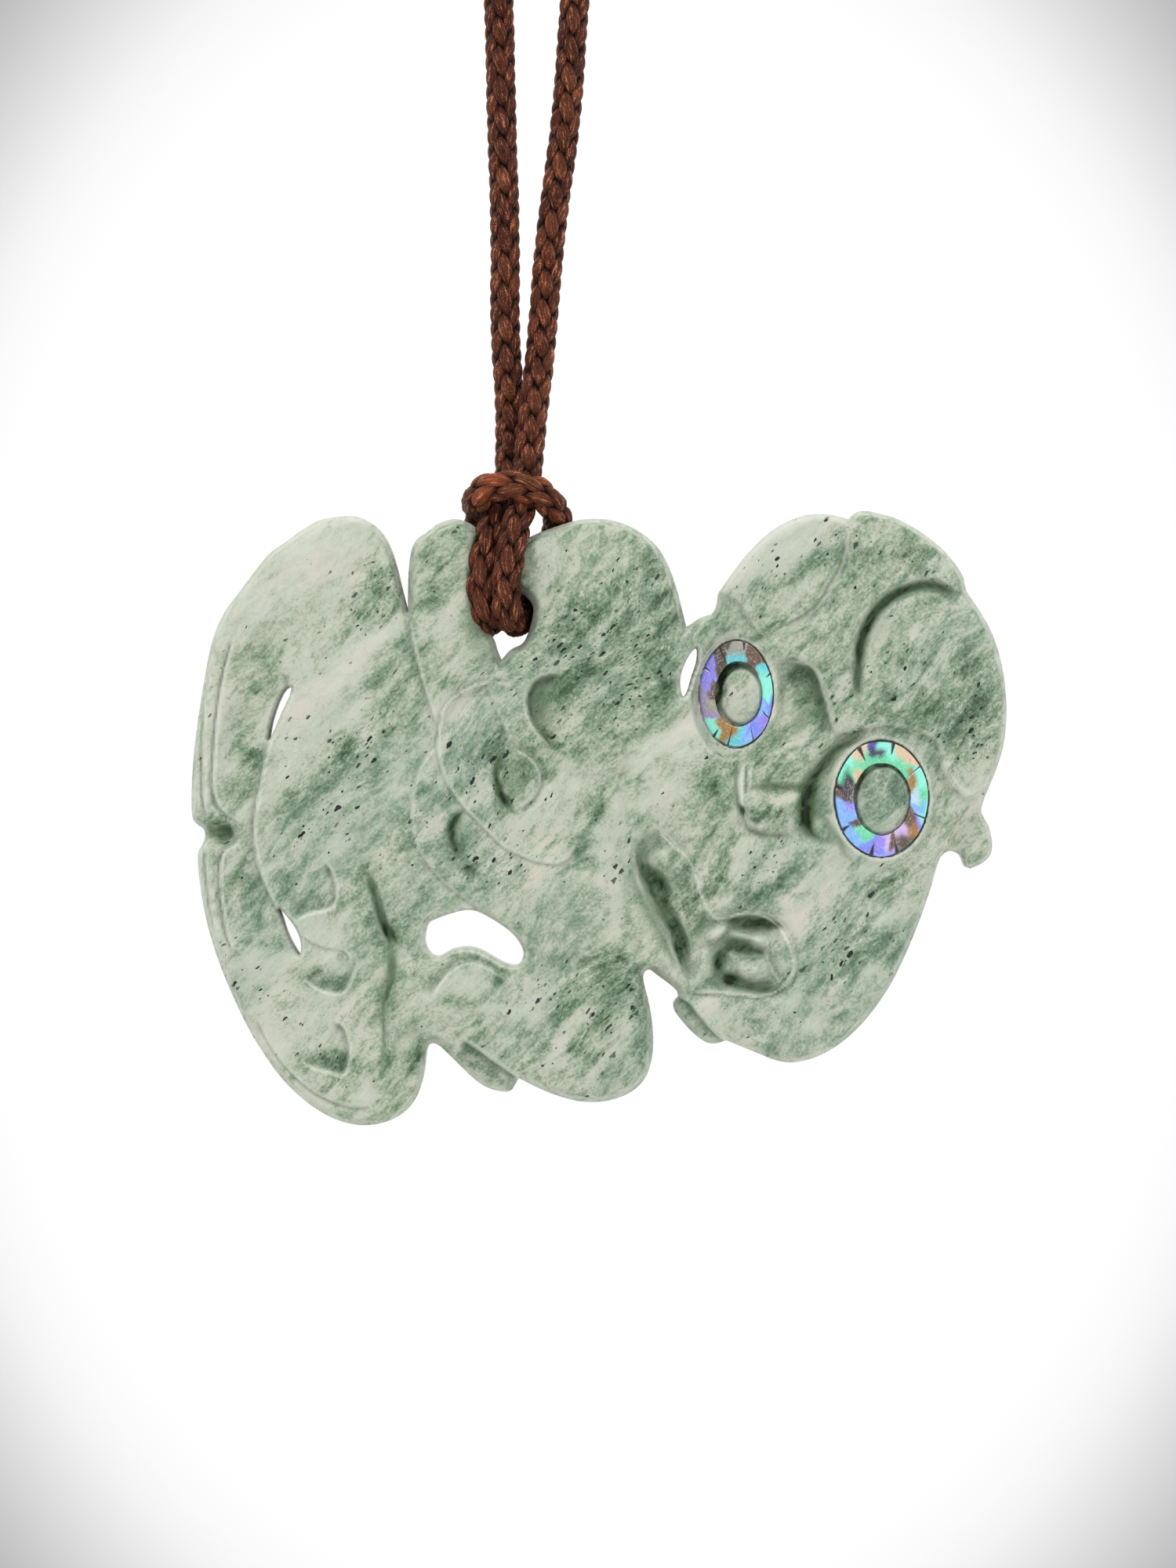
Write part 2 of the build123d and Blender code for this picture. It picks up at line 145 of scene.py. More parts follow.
# ---- the stone
# Outline of the stone, walked clockwise from the notch left of the brow, sharp between the runs
outlineRuns = [
    [(875, 800), (882, 796), (892, 789), (907, 784)],
    [(907, 784), (913, 774), (916, 756)],
    [(916, 756), (929, 738), (945, 716), (962, 697), (981, 680), (1002, 667), (1024, 659),
     (1048, 657), (1068, 660), (1081, 664)],
    [(1081, 664), (1087, 657), (1100, 653), (1122, 657), (1146, 665), (1171, 679), (1196, 698),
     (1215, 719), (1226, 736), (1228, 745)],
    [(1228, 745), (1232, 757), (1242, 772), (1254, 791), (1264, 811), (1272, 835), (1278, 862),
     (1281, 892), (1281, 922), (1277, 953), (1269, 980), (1261, 1000), (1254, 1018),
     (1250, 1033), (1254, 1044), (1260, 1055), (1264, 1074), (1262, 1090), (1254, 1099),
     (1243, 1105), (1234, 1108), (1229, 1103), (1225, 1092), (1216, 1086), (1207, 1086),
     (1199, 1092), (1193, 1106), (1186, 1131), (1177, 1158), (1166, 1187), (1153, 1218),
     (1136, 1252), (1115, 1284), (1092, 1311), (1066, 1333), (1038, 1348), (1010, 1354),
     (988, 1351), (965, 1342), (943, 1333), (926, 1326)],
    [(926, 1326), (914, 1330), (901, 1329), (885, 1318), (870, 1302), (860, 1288),
     (859, 1278), (865, 1271)],
    [(865, 1271), (862, 1262), (849, 1251), (838, 1243), (828, 1236), (821, 1241), (821, 1252),
     (826, 1272), (831, 1298), (833, 1325), (831, 1350), (824, 1371), (811, 1387), (791, 1398),
     (765, 1404), (738, 1403), (711, 1396), (686, 1386), (662, 1374)],
    [(662, 1374), (657, 1383), (651, 1391), (638, 1391), (621, 1386), (606, 1376), (590, 1361),
     (574, 1345), (561, 1333), (551, 1330), (545, 1339), (543, 1358), (539, 1379), (531, 1400),
     (517, 1417), (495, 1429), (467, 1434), (440, 1430), (414, 1419), (388, 1401), (362, 1376),
     (339, 1345), (318, 1310), (301, 1275), (286, 1240), (273, 1203), (263, 1165), (256, 1122),
     (254, 1090), (259, 1078), (263, 1067), (261, 1057), (253, 1051), (247, 1042),
     (246, 1010), (249, 960), (255, 912), (263, 862), (273, 816), (287, 783), (305, 758),
     (326, 730), (345, 707), (366, 692), (388, 676), (410, 664), (434, 660), (456, 660),
     (474, 668), (488, 680), (498, 697), (506, 720), (513, 749), (521, 781)],
    [(521, 781), (521, 757), (522, 730), (525, 705), (532, 690), (546, 679), (560, 669),
     (574, 664), (587, 664), (602, 670), (615, 681)],
    [(615, 681), (612, 710), (611, 740), (613, 770), (618, 793), (625, 807), (631, 817),
     (635, 830), (640, 842)],
    [(640, 842), (652, 829), (667, 821), (675, 805), (680, 785), (679, 772), (671, 761),
     (657, 750), (651, 736), (654, 712), (664, 695), (676, 686)],
    [(676, 686), (690, 680), (712, 672), (736, 665), (762, 663), (784, 666), (806, 674),
     (826, 687), (842, 704), (854, 727), (863, 753), (870, 780), (875, 800)],
]

# Gaps that go right through
throughGaps = dict(
    shinSlit=[(373, 877), (365, 880), (356, 897), (348, 922), (345, 944), (353, 928), (363, 905),
              (371, 888)],
    calfSlit=[(358, 1158), (362, 1172), (368, 1190), (376, 1206), (384, 1217), (385, 1200),
              (379, 1184), (369, 1170)],
    elbowGap=[(547, 1178), (558, 1171), (572, 1166), (590, 1161), (606, 1161), (622, 1168),
              (640, 1179), (654, 1190), (664, 1203), (668, 1216), (662, 1229), (648, 1229),
              (632, 1221), (614, 1211), (597, 1207), (578, 1210), (561, 1219), (549, 1214),
              (543, 1198)],
    neckSliver=[(888, 827), (879, 836), (871, 852), (867, 870), (870, 888), (876, 882),
                (882, 862), (888, 843)],
)

stoneSetup = dict(
    gridStep=0.172,       # mm between the points of the relief
    quickStep=0.3,
    triangles=188000,     # left after the plain back is thinned out
    farIn=12.0,           # mm inside the outline that are measured, and at a mass or a gap
    nearIn=2.0,
    gapNear=3.0,
    ground=2.9,           # mm from the middle to the face where no mass stands
    puff=0.5,             # how much of each mass's fall towards its edge is kept
    stepEnds=0.9,         # mm over which a step fades in at its ends
    crown=0.55,           # mm of soft doming towards the stone's middle
    crownReach=7.0,       # mm inside the outline where it is full
    crownDrop=0.25,       # mm that the whole face is lowered to make room for it
    hollowBlur=0.9,       # mm, the width that counts as a hollow for the material's painted shade
    edgeHighlightBlur=3,           # passes of softening that find the raised edges, which get a painted highlight
    rimLight=0.7,          # how much painted light the outline gets, over how many mm
    rimLightReach=0.5,
    gapLight=1.3,          # the same at the pierced gaps
    gapLightReach=0.12,
    rimRoll=0.65,         # mm over which the outline rolls from face to face
    gapRoll=0.32,         # the same at the pierced gaps
    rimStart=0.26,        # mm inside the outline where the rim's own rings begin
    rimRings=3,
    backShare=0.94,       # height of the back against that of the front's masses
    backBlur=2.2,         # mm, how softly the back follows them
    backReach=9.0,
    backDrop=0.35,
    gapBackRoll=2.4,      # mm round the gaps where the back is thinned
    gapBackLeft=0.35,     # share of its height that is left at their edge
)

# Masses of the carving: height of the top in mm, how far it falls towards its edge and over
# what width, and how soft the edge itself is
stoneMasses = [
    dict(name="leg", top=3.35, fall=0.5, roll=3.0, edge=0.6, points=[
        (330, 700), (420, 640), (480, 650), (530, 760), (560, 930), (540, 1100), (500, 1180),
        (500, 1440), (420, 1440), (250, 1200), (230, 1040), (250, 800)]),
    dict(name="chest", top=3.35, fall=0.45, roll=2.0, edge=0.5, points=[
        (560, 950), (540, 976), (528, 1008), (526, 1040), (532, 1074), (552, 1106), (585, 1133),
        (620, 1160), (680, 1210), (760, 1220), (860, 1180), (900, 1000), (880, 880), (760, 800),
        (640, 860)]),
    dict(name="lowerArm", top=3.85, fall=0.9, roll=3.6, edge=0.6, points=[
        (505, 1235), (530, 1222), (556, 1215), (596, 1198), (640, 1215), (690, 1250),
        (740, 1232), (790, 1215), (835, 1215), (850, 1300), (840, 1400), (740, 1425),
        (650, 1380), (560, 1325), (500, 1310), (494, 1270)]),
    dict(name="forearm", top=3.75, fall=0.55, roll=2.0, edge=0.4, points=[
        (520, 770), (515, 720), (535, 670), (590, 645), (650, 700), (650, 830), (634, 850),
        (622, 872), (590, 884), (568, 904), (556, 922), (544, 888), (532, 848), (523, 810)]),
    dict(name="upperArm", top=3.95, fall=0.55, roll=3.4, edge=1.2, points=[
        (640, 842), (655, 800), (655, 690), (690, 650), (770, 640), (850, 690), (880, 780),
        (886, 860), (868, 910), (830, 940), (780, 985), (735, 985), (690, 960), (650, 950),
        (634, 912), (627, 878), (630, 852)]),
    dict(name="head", top=3.45, fall=0.5, roll=2.6, edge=0.9, points=[
        (876, 790), (900, 740), (1000, 640), (1110, 630), (1240, 700), (1310, 900),
        (1290, 1060), (1200, 1130), (1130, 1330), (1000, 1380), (900, 1330), (826, 1240),
        (800, 1180), (793, 1110), (795, 1040), (800, 985), (826, 942), (866, 902),
        (868, 860)]),
    dict(name="brow", top=4.25, fall=0.5, roll=2.6, edge=0.3, points=[
        (905, 745), (918, 758), (938, 770), (953, 790), (966, 812), (990, 812), (1020, 796),
        (1050, 768), (1070, 730), (1080, 690), (1082, 640), (1000, 640), (920, 700)]),
    dict(name="crownBand", top=4.2, fall=0.2, roll=1.2, edge=0.25, points=[
        (1082, 640), (1077, 690), (1074, 722), (1060, 750), (1042, 779), (1018, 796),
        (995, 807), (972, 820), (978, 846), (1010, 842), (1034, 853), (1045, 872),
        (1055, 902), (1062, 936), (1100, 930), (1150, 930), (1190, 948), (1200, 985),
        (1216, 1010), (1240, 1014), (1300, 960), (1310, 860), (1240, 700), (1150, 630)]),
    dict(name="cheek", top=4.05, fall=1.0, roll=4.0, edge=0.9, points=[
        (795, 1000), (812, 962), (846, 932), (884, 926), (920, 944), (944, 976), (950, 1020),
        (935, 1052), (898, 1070), (862, 1078), (838, 1056), (812, 1068), (797, 1040)]),
    dict(name="noseBridge", top=3.95, fall=0.3, roll=1.6, edge=1.0, points=[
        (941, 984), (946, 974), (957, 966), (985, 958), (1012, 952), (1026, 972), (1022, 1000),
        (990, 1003), (958, 1006), (945, 1022), (940, 1006)]),
    dict(name="noseWing", top=4.1, fall=0.5, roll=1.8, edge=0.9, points=[
        (950, 1030), (958, 1010), (990, 1007), (1018, 1010), (1024, 1024), (1022, 1044),
        (1008, 1056), (980, 1060), (958, 1056), (951, 1046)]),
]

# Steps in the surface: the left side, walking along the line, is raised and fades over its
# width, and the right side is sunk and fades over its own. Heights and widths in mm.
stoneSteps = [
    dict(name="shin", up=0.22, upFade=1.8, down=0.6, downFade=2.2, edge=0.2, line=[
        (374, 862), (366, 890), (355, 920), (345, 950), (338, 985), (331, 1020), (327, 1058),
        (329, 1090), (337, 1120), (350, 1148), (362, 1172), (386, 1220)]),
    dict(name="knee", up=0.14, upFade=1.2, down=0.55, downFade=2.6, edge=0.2, line=[
        (413, 1097), (423, 1107), (428, 1120), (431, 1134), (430, 1147), (424, 1156),
        (413, 1160), (400, 1162), (388, 1167), (376, 1176)]),
    dict(name="ankle", up=0.2, upFade=1.4, down=0.2, downFade=1.2, edge=0.2, line=[
        (384, 1188), (400, 1200), (420, 1207), (438, 1210), (447, 1218), (449, 1228)]),
    dict(name="footScoop", up=0.06, upFade=1, down=0.6, downFade=3.4, edge=0.2, line=[
        (458, 1224), (453, 1237), (447, 1252), (440, 1263), (427, 1265), (411, 1260),
        (399, 1253), (390, 1243)]),
    dict(name="heelScoop", up=0.06, upFade=1, down=0.65, downFade=3.6, edge=0.2, line=[
        (424, 1300), (437, 1306), (444, 1318), (447, 1332), (447, 1347), (444, 1360),
        (438, 1368), (424, 1365), (408, 1361), (396, 1356), (386, 1349)]),
    dict(name="heelEdge", up=0.15, upFade=1, down=0, downFade=1, edge=0.2, line=[
        (394, 1308), (402, 1299), (412, 1297), (424, 1300)]),
    dict(name="baseRim", up=0.06, upFade=1.2, down=0.45, downFade=1.4, edge=0.2, line=[
        (330, 1296), (342, 1322), (357, 1346), (376, 1368), (398, 1387), (424, 1401),
        (452, 1409), (478, 1408)]),
    dict(name="rib1", up=0.08, upFade=0.5, down=0.5, downFade=0.7, edge=0.2, line=[
        (300, 815), (291, 850), (284, 885), (279, 925), (276, 965), (275, 1000), (279, 1022),
        (289, 1036), (303, 1046), (309, 1056)]),
    dict(name="rib2", up=0.08, upFade=0.4, down=0.5, downFade=0.6, edge=0.2, line=[
        (272, 850), (266, 885), (263, 925), (262, 965), (262, 1005), (264, 1030), (268, 1052)]),
    dict(name="lowRib1", up=0.08, upFade=0.5, down=0.5, downFade=0.7, edge=0.2, line=[
        (309, 1062), (303, 1074), (291, 1083), (285, 1096), (284, 1115), (285, 1140),
        (288, 1165), (293, 1192), (300, 1215)]),
    dict(name="lowRib2", up=0.06, upFade=0.3, down=0.4, downFade=0.4, edge=0.2, line=[
        (275, 1077), (278, 1095), (279, 1115), (281, 1140), (284, 1165), (289, 1188)]),
    dict(name="lowRib3", up=0.08, upFade=0.4, down=0.5, downFade=0.6, edge=0.2, line=[
        (265, 1079), (266, 1100), (268, 1125), (271, 1152), (276, 1180), (281, 1200)]),
    dict(name="forearmEdge", up=0.15, upFade=1.2, down=0.3, downFade=1.4, edge=0.2, line=[
        (521, 786), (526, 804), (531, 833), (538, 860), (545, 884), (550, 900), (558, 925)]),
    dict(name="chestRing", up=0.15, upFade=1.3, down=0.22, downFade=1.5, edge=0.2, line=[
        (558, 950), (546, 966), (537, 980), (531, 1000), (528, 1020), (526, 1040), (529, 1060),
        (533, 1076), (541, 1092), (553, 1109), (566, 1123), (581, 1136), (598, 1148),
        (618, 1161)]),
    dict(name="hand", up=0.28, upFade=1.6, down=0.26, downFade=1.3, edge=0.2, line=[
        (634, 846), (630, 860), (622, 870), (606, 875), (590, 883), (575, 894), (565, 908),
        (561, 932), (560, 955), (564, 978), (572, 998), (583, 1016), (597, 1034),
        (613, 1050), (628, 1065), (642, 1079), (660, 1088), (680, 1096), (704, 1100),
        (720, 1097), (731, 1084), (736, 1072)]),
    dict(name="finger", up=0.2, upFade=1.4, down=0.2, downFade=1.2, edge=0.2, line=[
        (628, 868), (627, 882), (630, 896), (636, 910), (642, 922), (647, 936), (650, 952)]),
    dict(name="shoulderScoop", up=0.06, upFade=1.2, down=0.95, downFade=2.7, edge=0.2, line=[
        (706, 954), (695, 943), (684, 931), (677, 918), (673, 904), (673, 889), (679, 875),
        (689, 866), (701, 862), (716, 862)]),
    dict(name="knuckle", up=0.22, upFade=1.3, down=0.4, downFade=1.1, edge=0.2, line=[
        (655, 1034), (668, 1028), (681, 1016), (689, 1000), (689, 984), (681, 970),
        (668, 960), (654, 955)]),
    dict(name="browEdge", up=0.09, upFade=1.6, down=0.85, downFade=2.8, edge=0.2, line=[
        (1006, 846), (1016, 847), (1025, 849), (1034, 854), (1041, 866), (1046, 878),
        (1051, 895), (1055, 909), (1058, 925), (1065, 938)]),
    dict(name="eyeRidge", up=0.3, upFade=1.2, down=0.2, downFade=1.6, edge=0.2, line=[
        (971, 820), (974, 842), (978, 864), (981, 880), (980, 896), (977, 912), (977, 932),
        (977, 954)]),
    dict(name="jawTab", up=0.06, upFade=1, down=1.3, downFade=6, edge=0.2, line=[
        (858, 1262), (866, 1270), (880, 1281), (895, 1299), (910, 1315), (930, 1330)]),
    dict(name="elbowTab", up=0.06, upFade=1, down=1.3, downFade=6, edge=0.2, line=[
        (588, 1322), (603, 1332), (621, 1345), (641, 1359), (668, 1378)]),
    dict(name="cheekLine", up=0.15, upFade=2.6, down=0.3, downFade=2.2, edge=1.2, line=[
        (872, 892), (852, 914), (826, 938), (808, 962), (800, 990), (797, 1025), (794, 1065),
        (794, 1110), (799, 1150), (808, 1190), (818, 1222), (828, 1238)]),
    dict(name="innerLimb", up=0.25, upFade=1.8, down=0.7, downFade=1.2, edge=0.5, line=[
        (655, 1248), (640, 1240), (622, 1230), (603, 1224), (584, 1229), (568, 1242),
        (556, 1258), (548, 1274)]),
    dict(name="noseSide", up=0.42, upFade=1.6, down=0.3, downFade=1.4, edge=0.45, line=[
        (962, 965), (950, 970), (943, 978), (941, 992), (941, 1010), (943, 1026), (949, 1036),
        (951, 1048), (959, 1056), (978, 1061)]),
    dict(name="noseFacet", up=0.16, upFade=0.9, down=0.06, downFade=0.5, edge=0.3, line=[
        (957, 972), (954, 986), (954, 1000), (957, 1008)]),
    dict(name="lipTip", up=0.06, upFade=1.2, down=0.3, downFade=1.2, edge=0.18, line=[
        (905, 1163), (899, 1150), (894, 1139), (890, 1126), (887, 1113), (882, 1100),
        (870, 1086), (857, 1075), (838, 1057)]),
    dict(name="discEdge", up=0.16, upFade=1.6, down=0.22, downFade=0.9, edge=0.15, line=[
        (1001, 1254), (994, 1249), (985, 1237), (979, 1224), (977, 1211), (981, 1195),
        (993, 1182)]),
    dict(name="lipCurl", up=0.08, upFade=1.0, down=0.45, downFade=1.1, edge=0.18, line=[
        (870, 1262), (890, 1265), (915, 1266), (940, 1268), (965, 1270), (985, 1267),
        (1001, 1256), (1010, 1243), (1013, 1229), (1010, 1212), (1003, 1195), (996, 1183),
        (984, 1172), (970, 1165), (952, 1162), (938, 1164), (925, 1168), (911, 1167),
        (903, 1160)]),
]

# Grooves: depth, half width and how soft the ends are, in mm
stoneGrooves = [
    dict(name="crownGroove", depth=0.95, width=0.44, ends=1.5, line=[
        (1222, 760), (1208, 758), (1195, 752), (1180, 749), (1160, 752), (1141, 760),
        (1125, 771), (1112, 786), (1102, 803), (1096, 822), (1093, 845), (1091, 868),
        (1091, 898)]),
    dict(name="legCrease", depth=0.3, width=0.3, ends=1.6, line=[
        (474, 1118), (479, 1136), (484, 1155), (490, 1172), (498, 1188), (502, 1202),
        (502, 1222), (500, 1243), (494, 1264), (491, 1290), (491, 1318), (493, 1345),
        (489, 1372)]),
    dict(name="socket", depth=0.85, width=0.62, ends=2.4, line=[
        (1122, 941), (1096, 944), (1078, 950), (1064, 959), (1053, 972), (1041, 987),
        (1032, 1001), (1026, 1018), (1024, 1038), (1027, 1056), (1037, 1067), (1058, 1076)]),
    dict(name="browSeam", depth=0.28, width=0.2, ends=0.6, line=[
        (1081, 664), (1079, 690), (1075, 720), (1061, 750), (1042, 779), (1018, 796),
        (995, 807), (972, 819)]),
    dict(name="creaseTop", depth=0.45, width=0.36, ends=1.4, line=[
        (470, 1112), (479, 1136), (485, 1158), (492, 1178), (501, 1196), (506, 1206)]),
    dict(name="palm", depth=0.5, width=0.36, ends=1.0, line=[
        (642, 956), (635, 972), (633, 988), (636, 1004), (643, 1020), (653, 1034)]),
    dict(name="palmEnd", depth=0.3, width=0.4, ends=0.8, line=[
        (640, 1008), (646, 1022), (654, 1032)]),
    dict(name="thumb", depth=0.6, width=0.4, ends=0.9, line=[
        (592, 1034), (583, 1044), (577, 1056), (577, 1070), (581, 1082), (587, 1092)]),
    dict(name="thumbEnd", depth=0.35, width=0.3, ends=0.8, line=[
        (586, 1106), (598, 1110), (611, 1115)]),
    dict(name="wrist", depth=0.35, width=0.45, ends=1.0, line=[
        (688, 932), (697, 943), (707, 953), (720, 960)]),
    dict(name="noseTop", depth=0.3, width=0.4, ends=1.2, line=[
        (960, 1005), (980, 1004), (1004, 1005), (1030, 1003)]),
    dict(name="notch", depth=1.0, width=0.75, ends=0.6, line=[
        (262, 1062), (276, 1062), (290, 1062), (303, 1060)]),
]

# Where the cord lies against the stone, without the painted shade of a hollow
cordChannel = dict(depth=1.1, width=0.75, ends=1.0, line=[
    (620, 676), (614, 705), (612, 740), (614, 775), (620, 800), (631, 816)])

# The open mouth is sunk inside this outline, and the lumps stand in it
mouthSetup = dict(depth=0.9, edge=0.9, outline=[
    (838, 1058), (852, 1071), (868, 1085), (880, 1098), (887, 1114), (891, 1130), (898, 1148),
    (905, 1163), (914, 1168), (930, 1167), (952, 1162), (970, 1165), (984, 1172), (996, 1183),
    (1004, 1196), (1011, 1213), (1013, 1229), (1010, 1244), (1001, 1257), (985, 1267),
    (960, 1269), (925, 1267), (898, 1262), (883, 1251), (865, 1225), (848, 1194), (829, 1159),
    (814, 1124), (809, 1095), (820, 1072)])
mouthLumps = [
    # middle, half width and half height in pixels, turn in degrees, rise in mm
    dict(at=(856, 1100), size=(30, 22), turn=-40, rise=0.7),
    dict(at=(884, 1158), size=(26, 16), turn=-60, rise=0.5),
    dict(at=(897, 1234), size=(28, 17), turn=80, rise=1.0),
    dict(at=(914, 1189), size=(22, 12), turn=38, rise=0.75),
    dict(at=(950, 1193), size=(24, 9), turn=-8, rise=0.4),
    dict(at=(959, 1235), size=(28, 18), turn=-8, rise=1.15),
    dict(at=(968, 1200), size=(15, 13), turn=30, rise=0.65),
    dict(at=(995, 1218), size=(40, 19), turn=-78, rise=1.0),
    dict(at=(892, 1124), size=(12, 7), turn=-70, rise=0.35),
]
mouthPits = [
    dict(at=(819, 1092), size=(28, 11), turn=-82, rise=-0.4),
    dict(at=(836, 1128), size=(34, 17), turn=-52, rise=-0.9),
    dict(at=(853, 1168), size=(34, 13), turn=-58, rise=-0.7),
    dict(at=(867, 1202), size=(32, 13), turn=-76, rise=-0.8),
    dict(at=(876, 1236), size=(22, 10), turn=-62, rise=-0.5),
    dict(at=(962, 1177), size=(46, 18), turn=-10, rise=-0.7),
    dict(at=(948, 1208), size=(36, 14), turn=-12, rise=-0.6),
    dict(at=(918, 1226), size=(24, 13), turn=70, rise=-0.65),
    dict(at=(932, 1248), size=(22, 13), turn=-14, rise=-0.7),
    dict(at=(972, 1260), size=(38, 13), turn=-4, rise=-0.35),
]

# Broad hollows and swellings: middle and half sizes in pixels, turn, rise in mm (sunk if below 0)
broadForms = [
    dict(at=(318, 925), size=(36, 150), turn=-14, rise=-0.9),
    dict(at=(314, 1140), size=(34, 95), turn=14, rise=-0.8),
    dict(at=(1018, 885), size=(38, 52), turn=-10, rise=-0.65),
    dict(at=(1190, 860), size=(88, 110), turn=10, rise=0.35),
    dict(at=(1060, 1230), size=(110, 120), turn=-30, rise=0.35),
    dict(at=(440, 960), size=(90, 190), turn=12, rise=0.35),
    dict(at=(765, 1320), size=(80, 90), turn=0, rise=0.30),
    dict(at=(770, 780), size=(90, 110), turn=0, rise=0.25),
    dict(at=(1236, 1072), size=(34, 44), turn=0, rise=-1.1),
    dict(at=(292, 1062), size=(26, 20), turn=0, rise=-0.7),
]
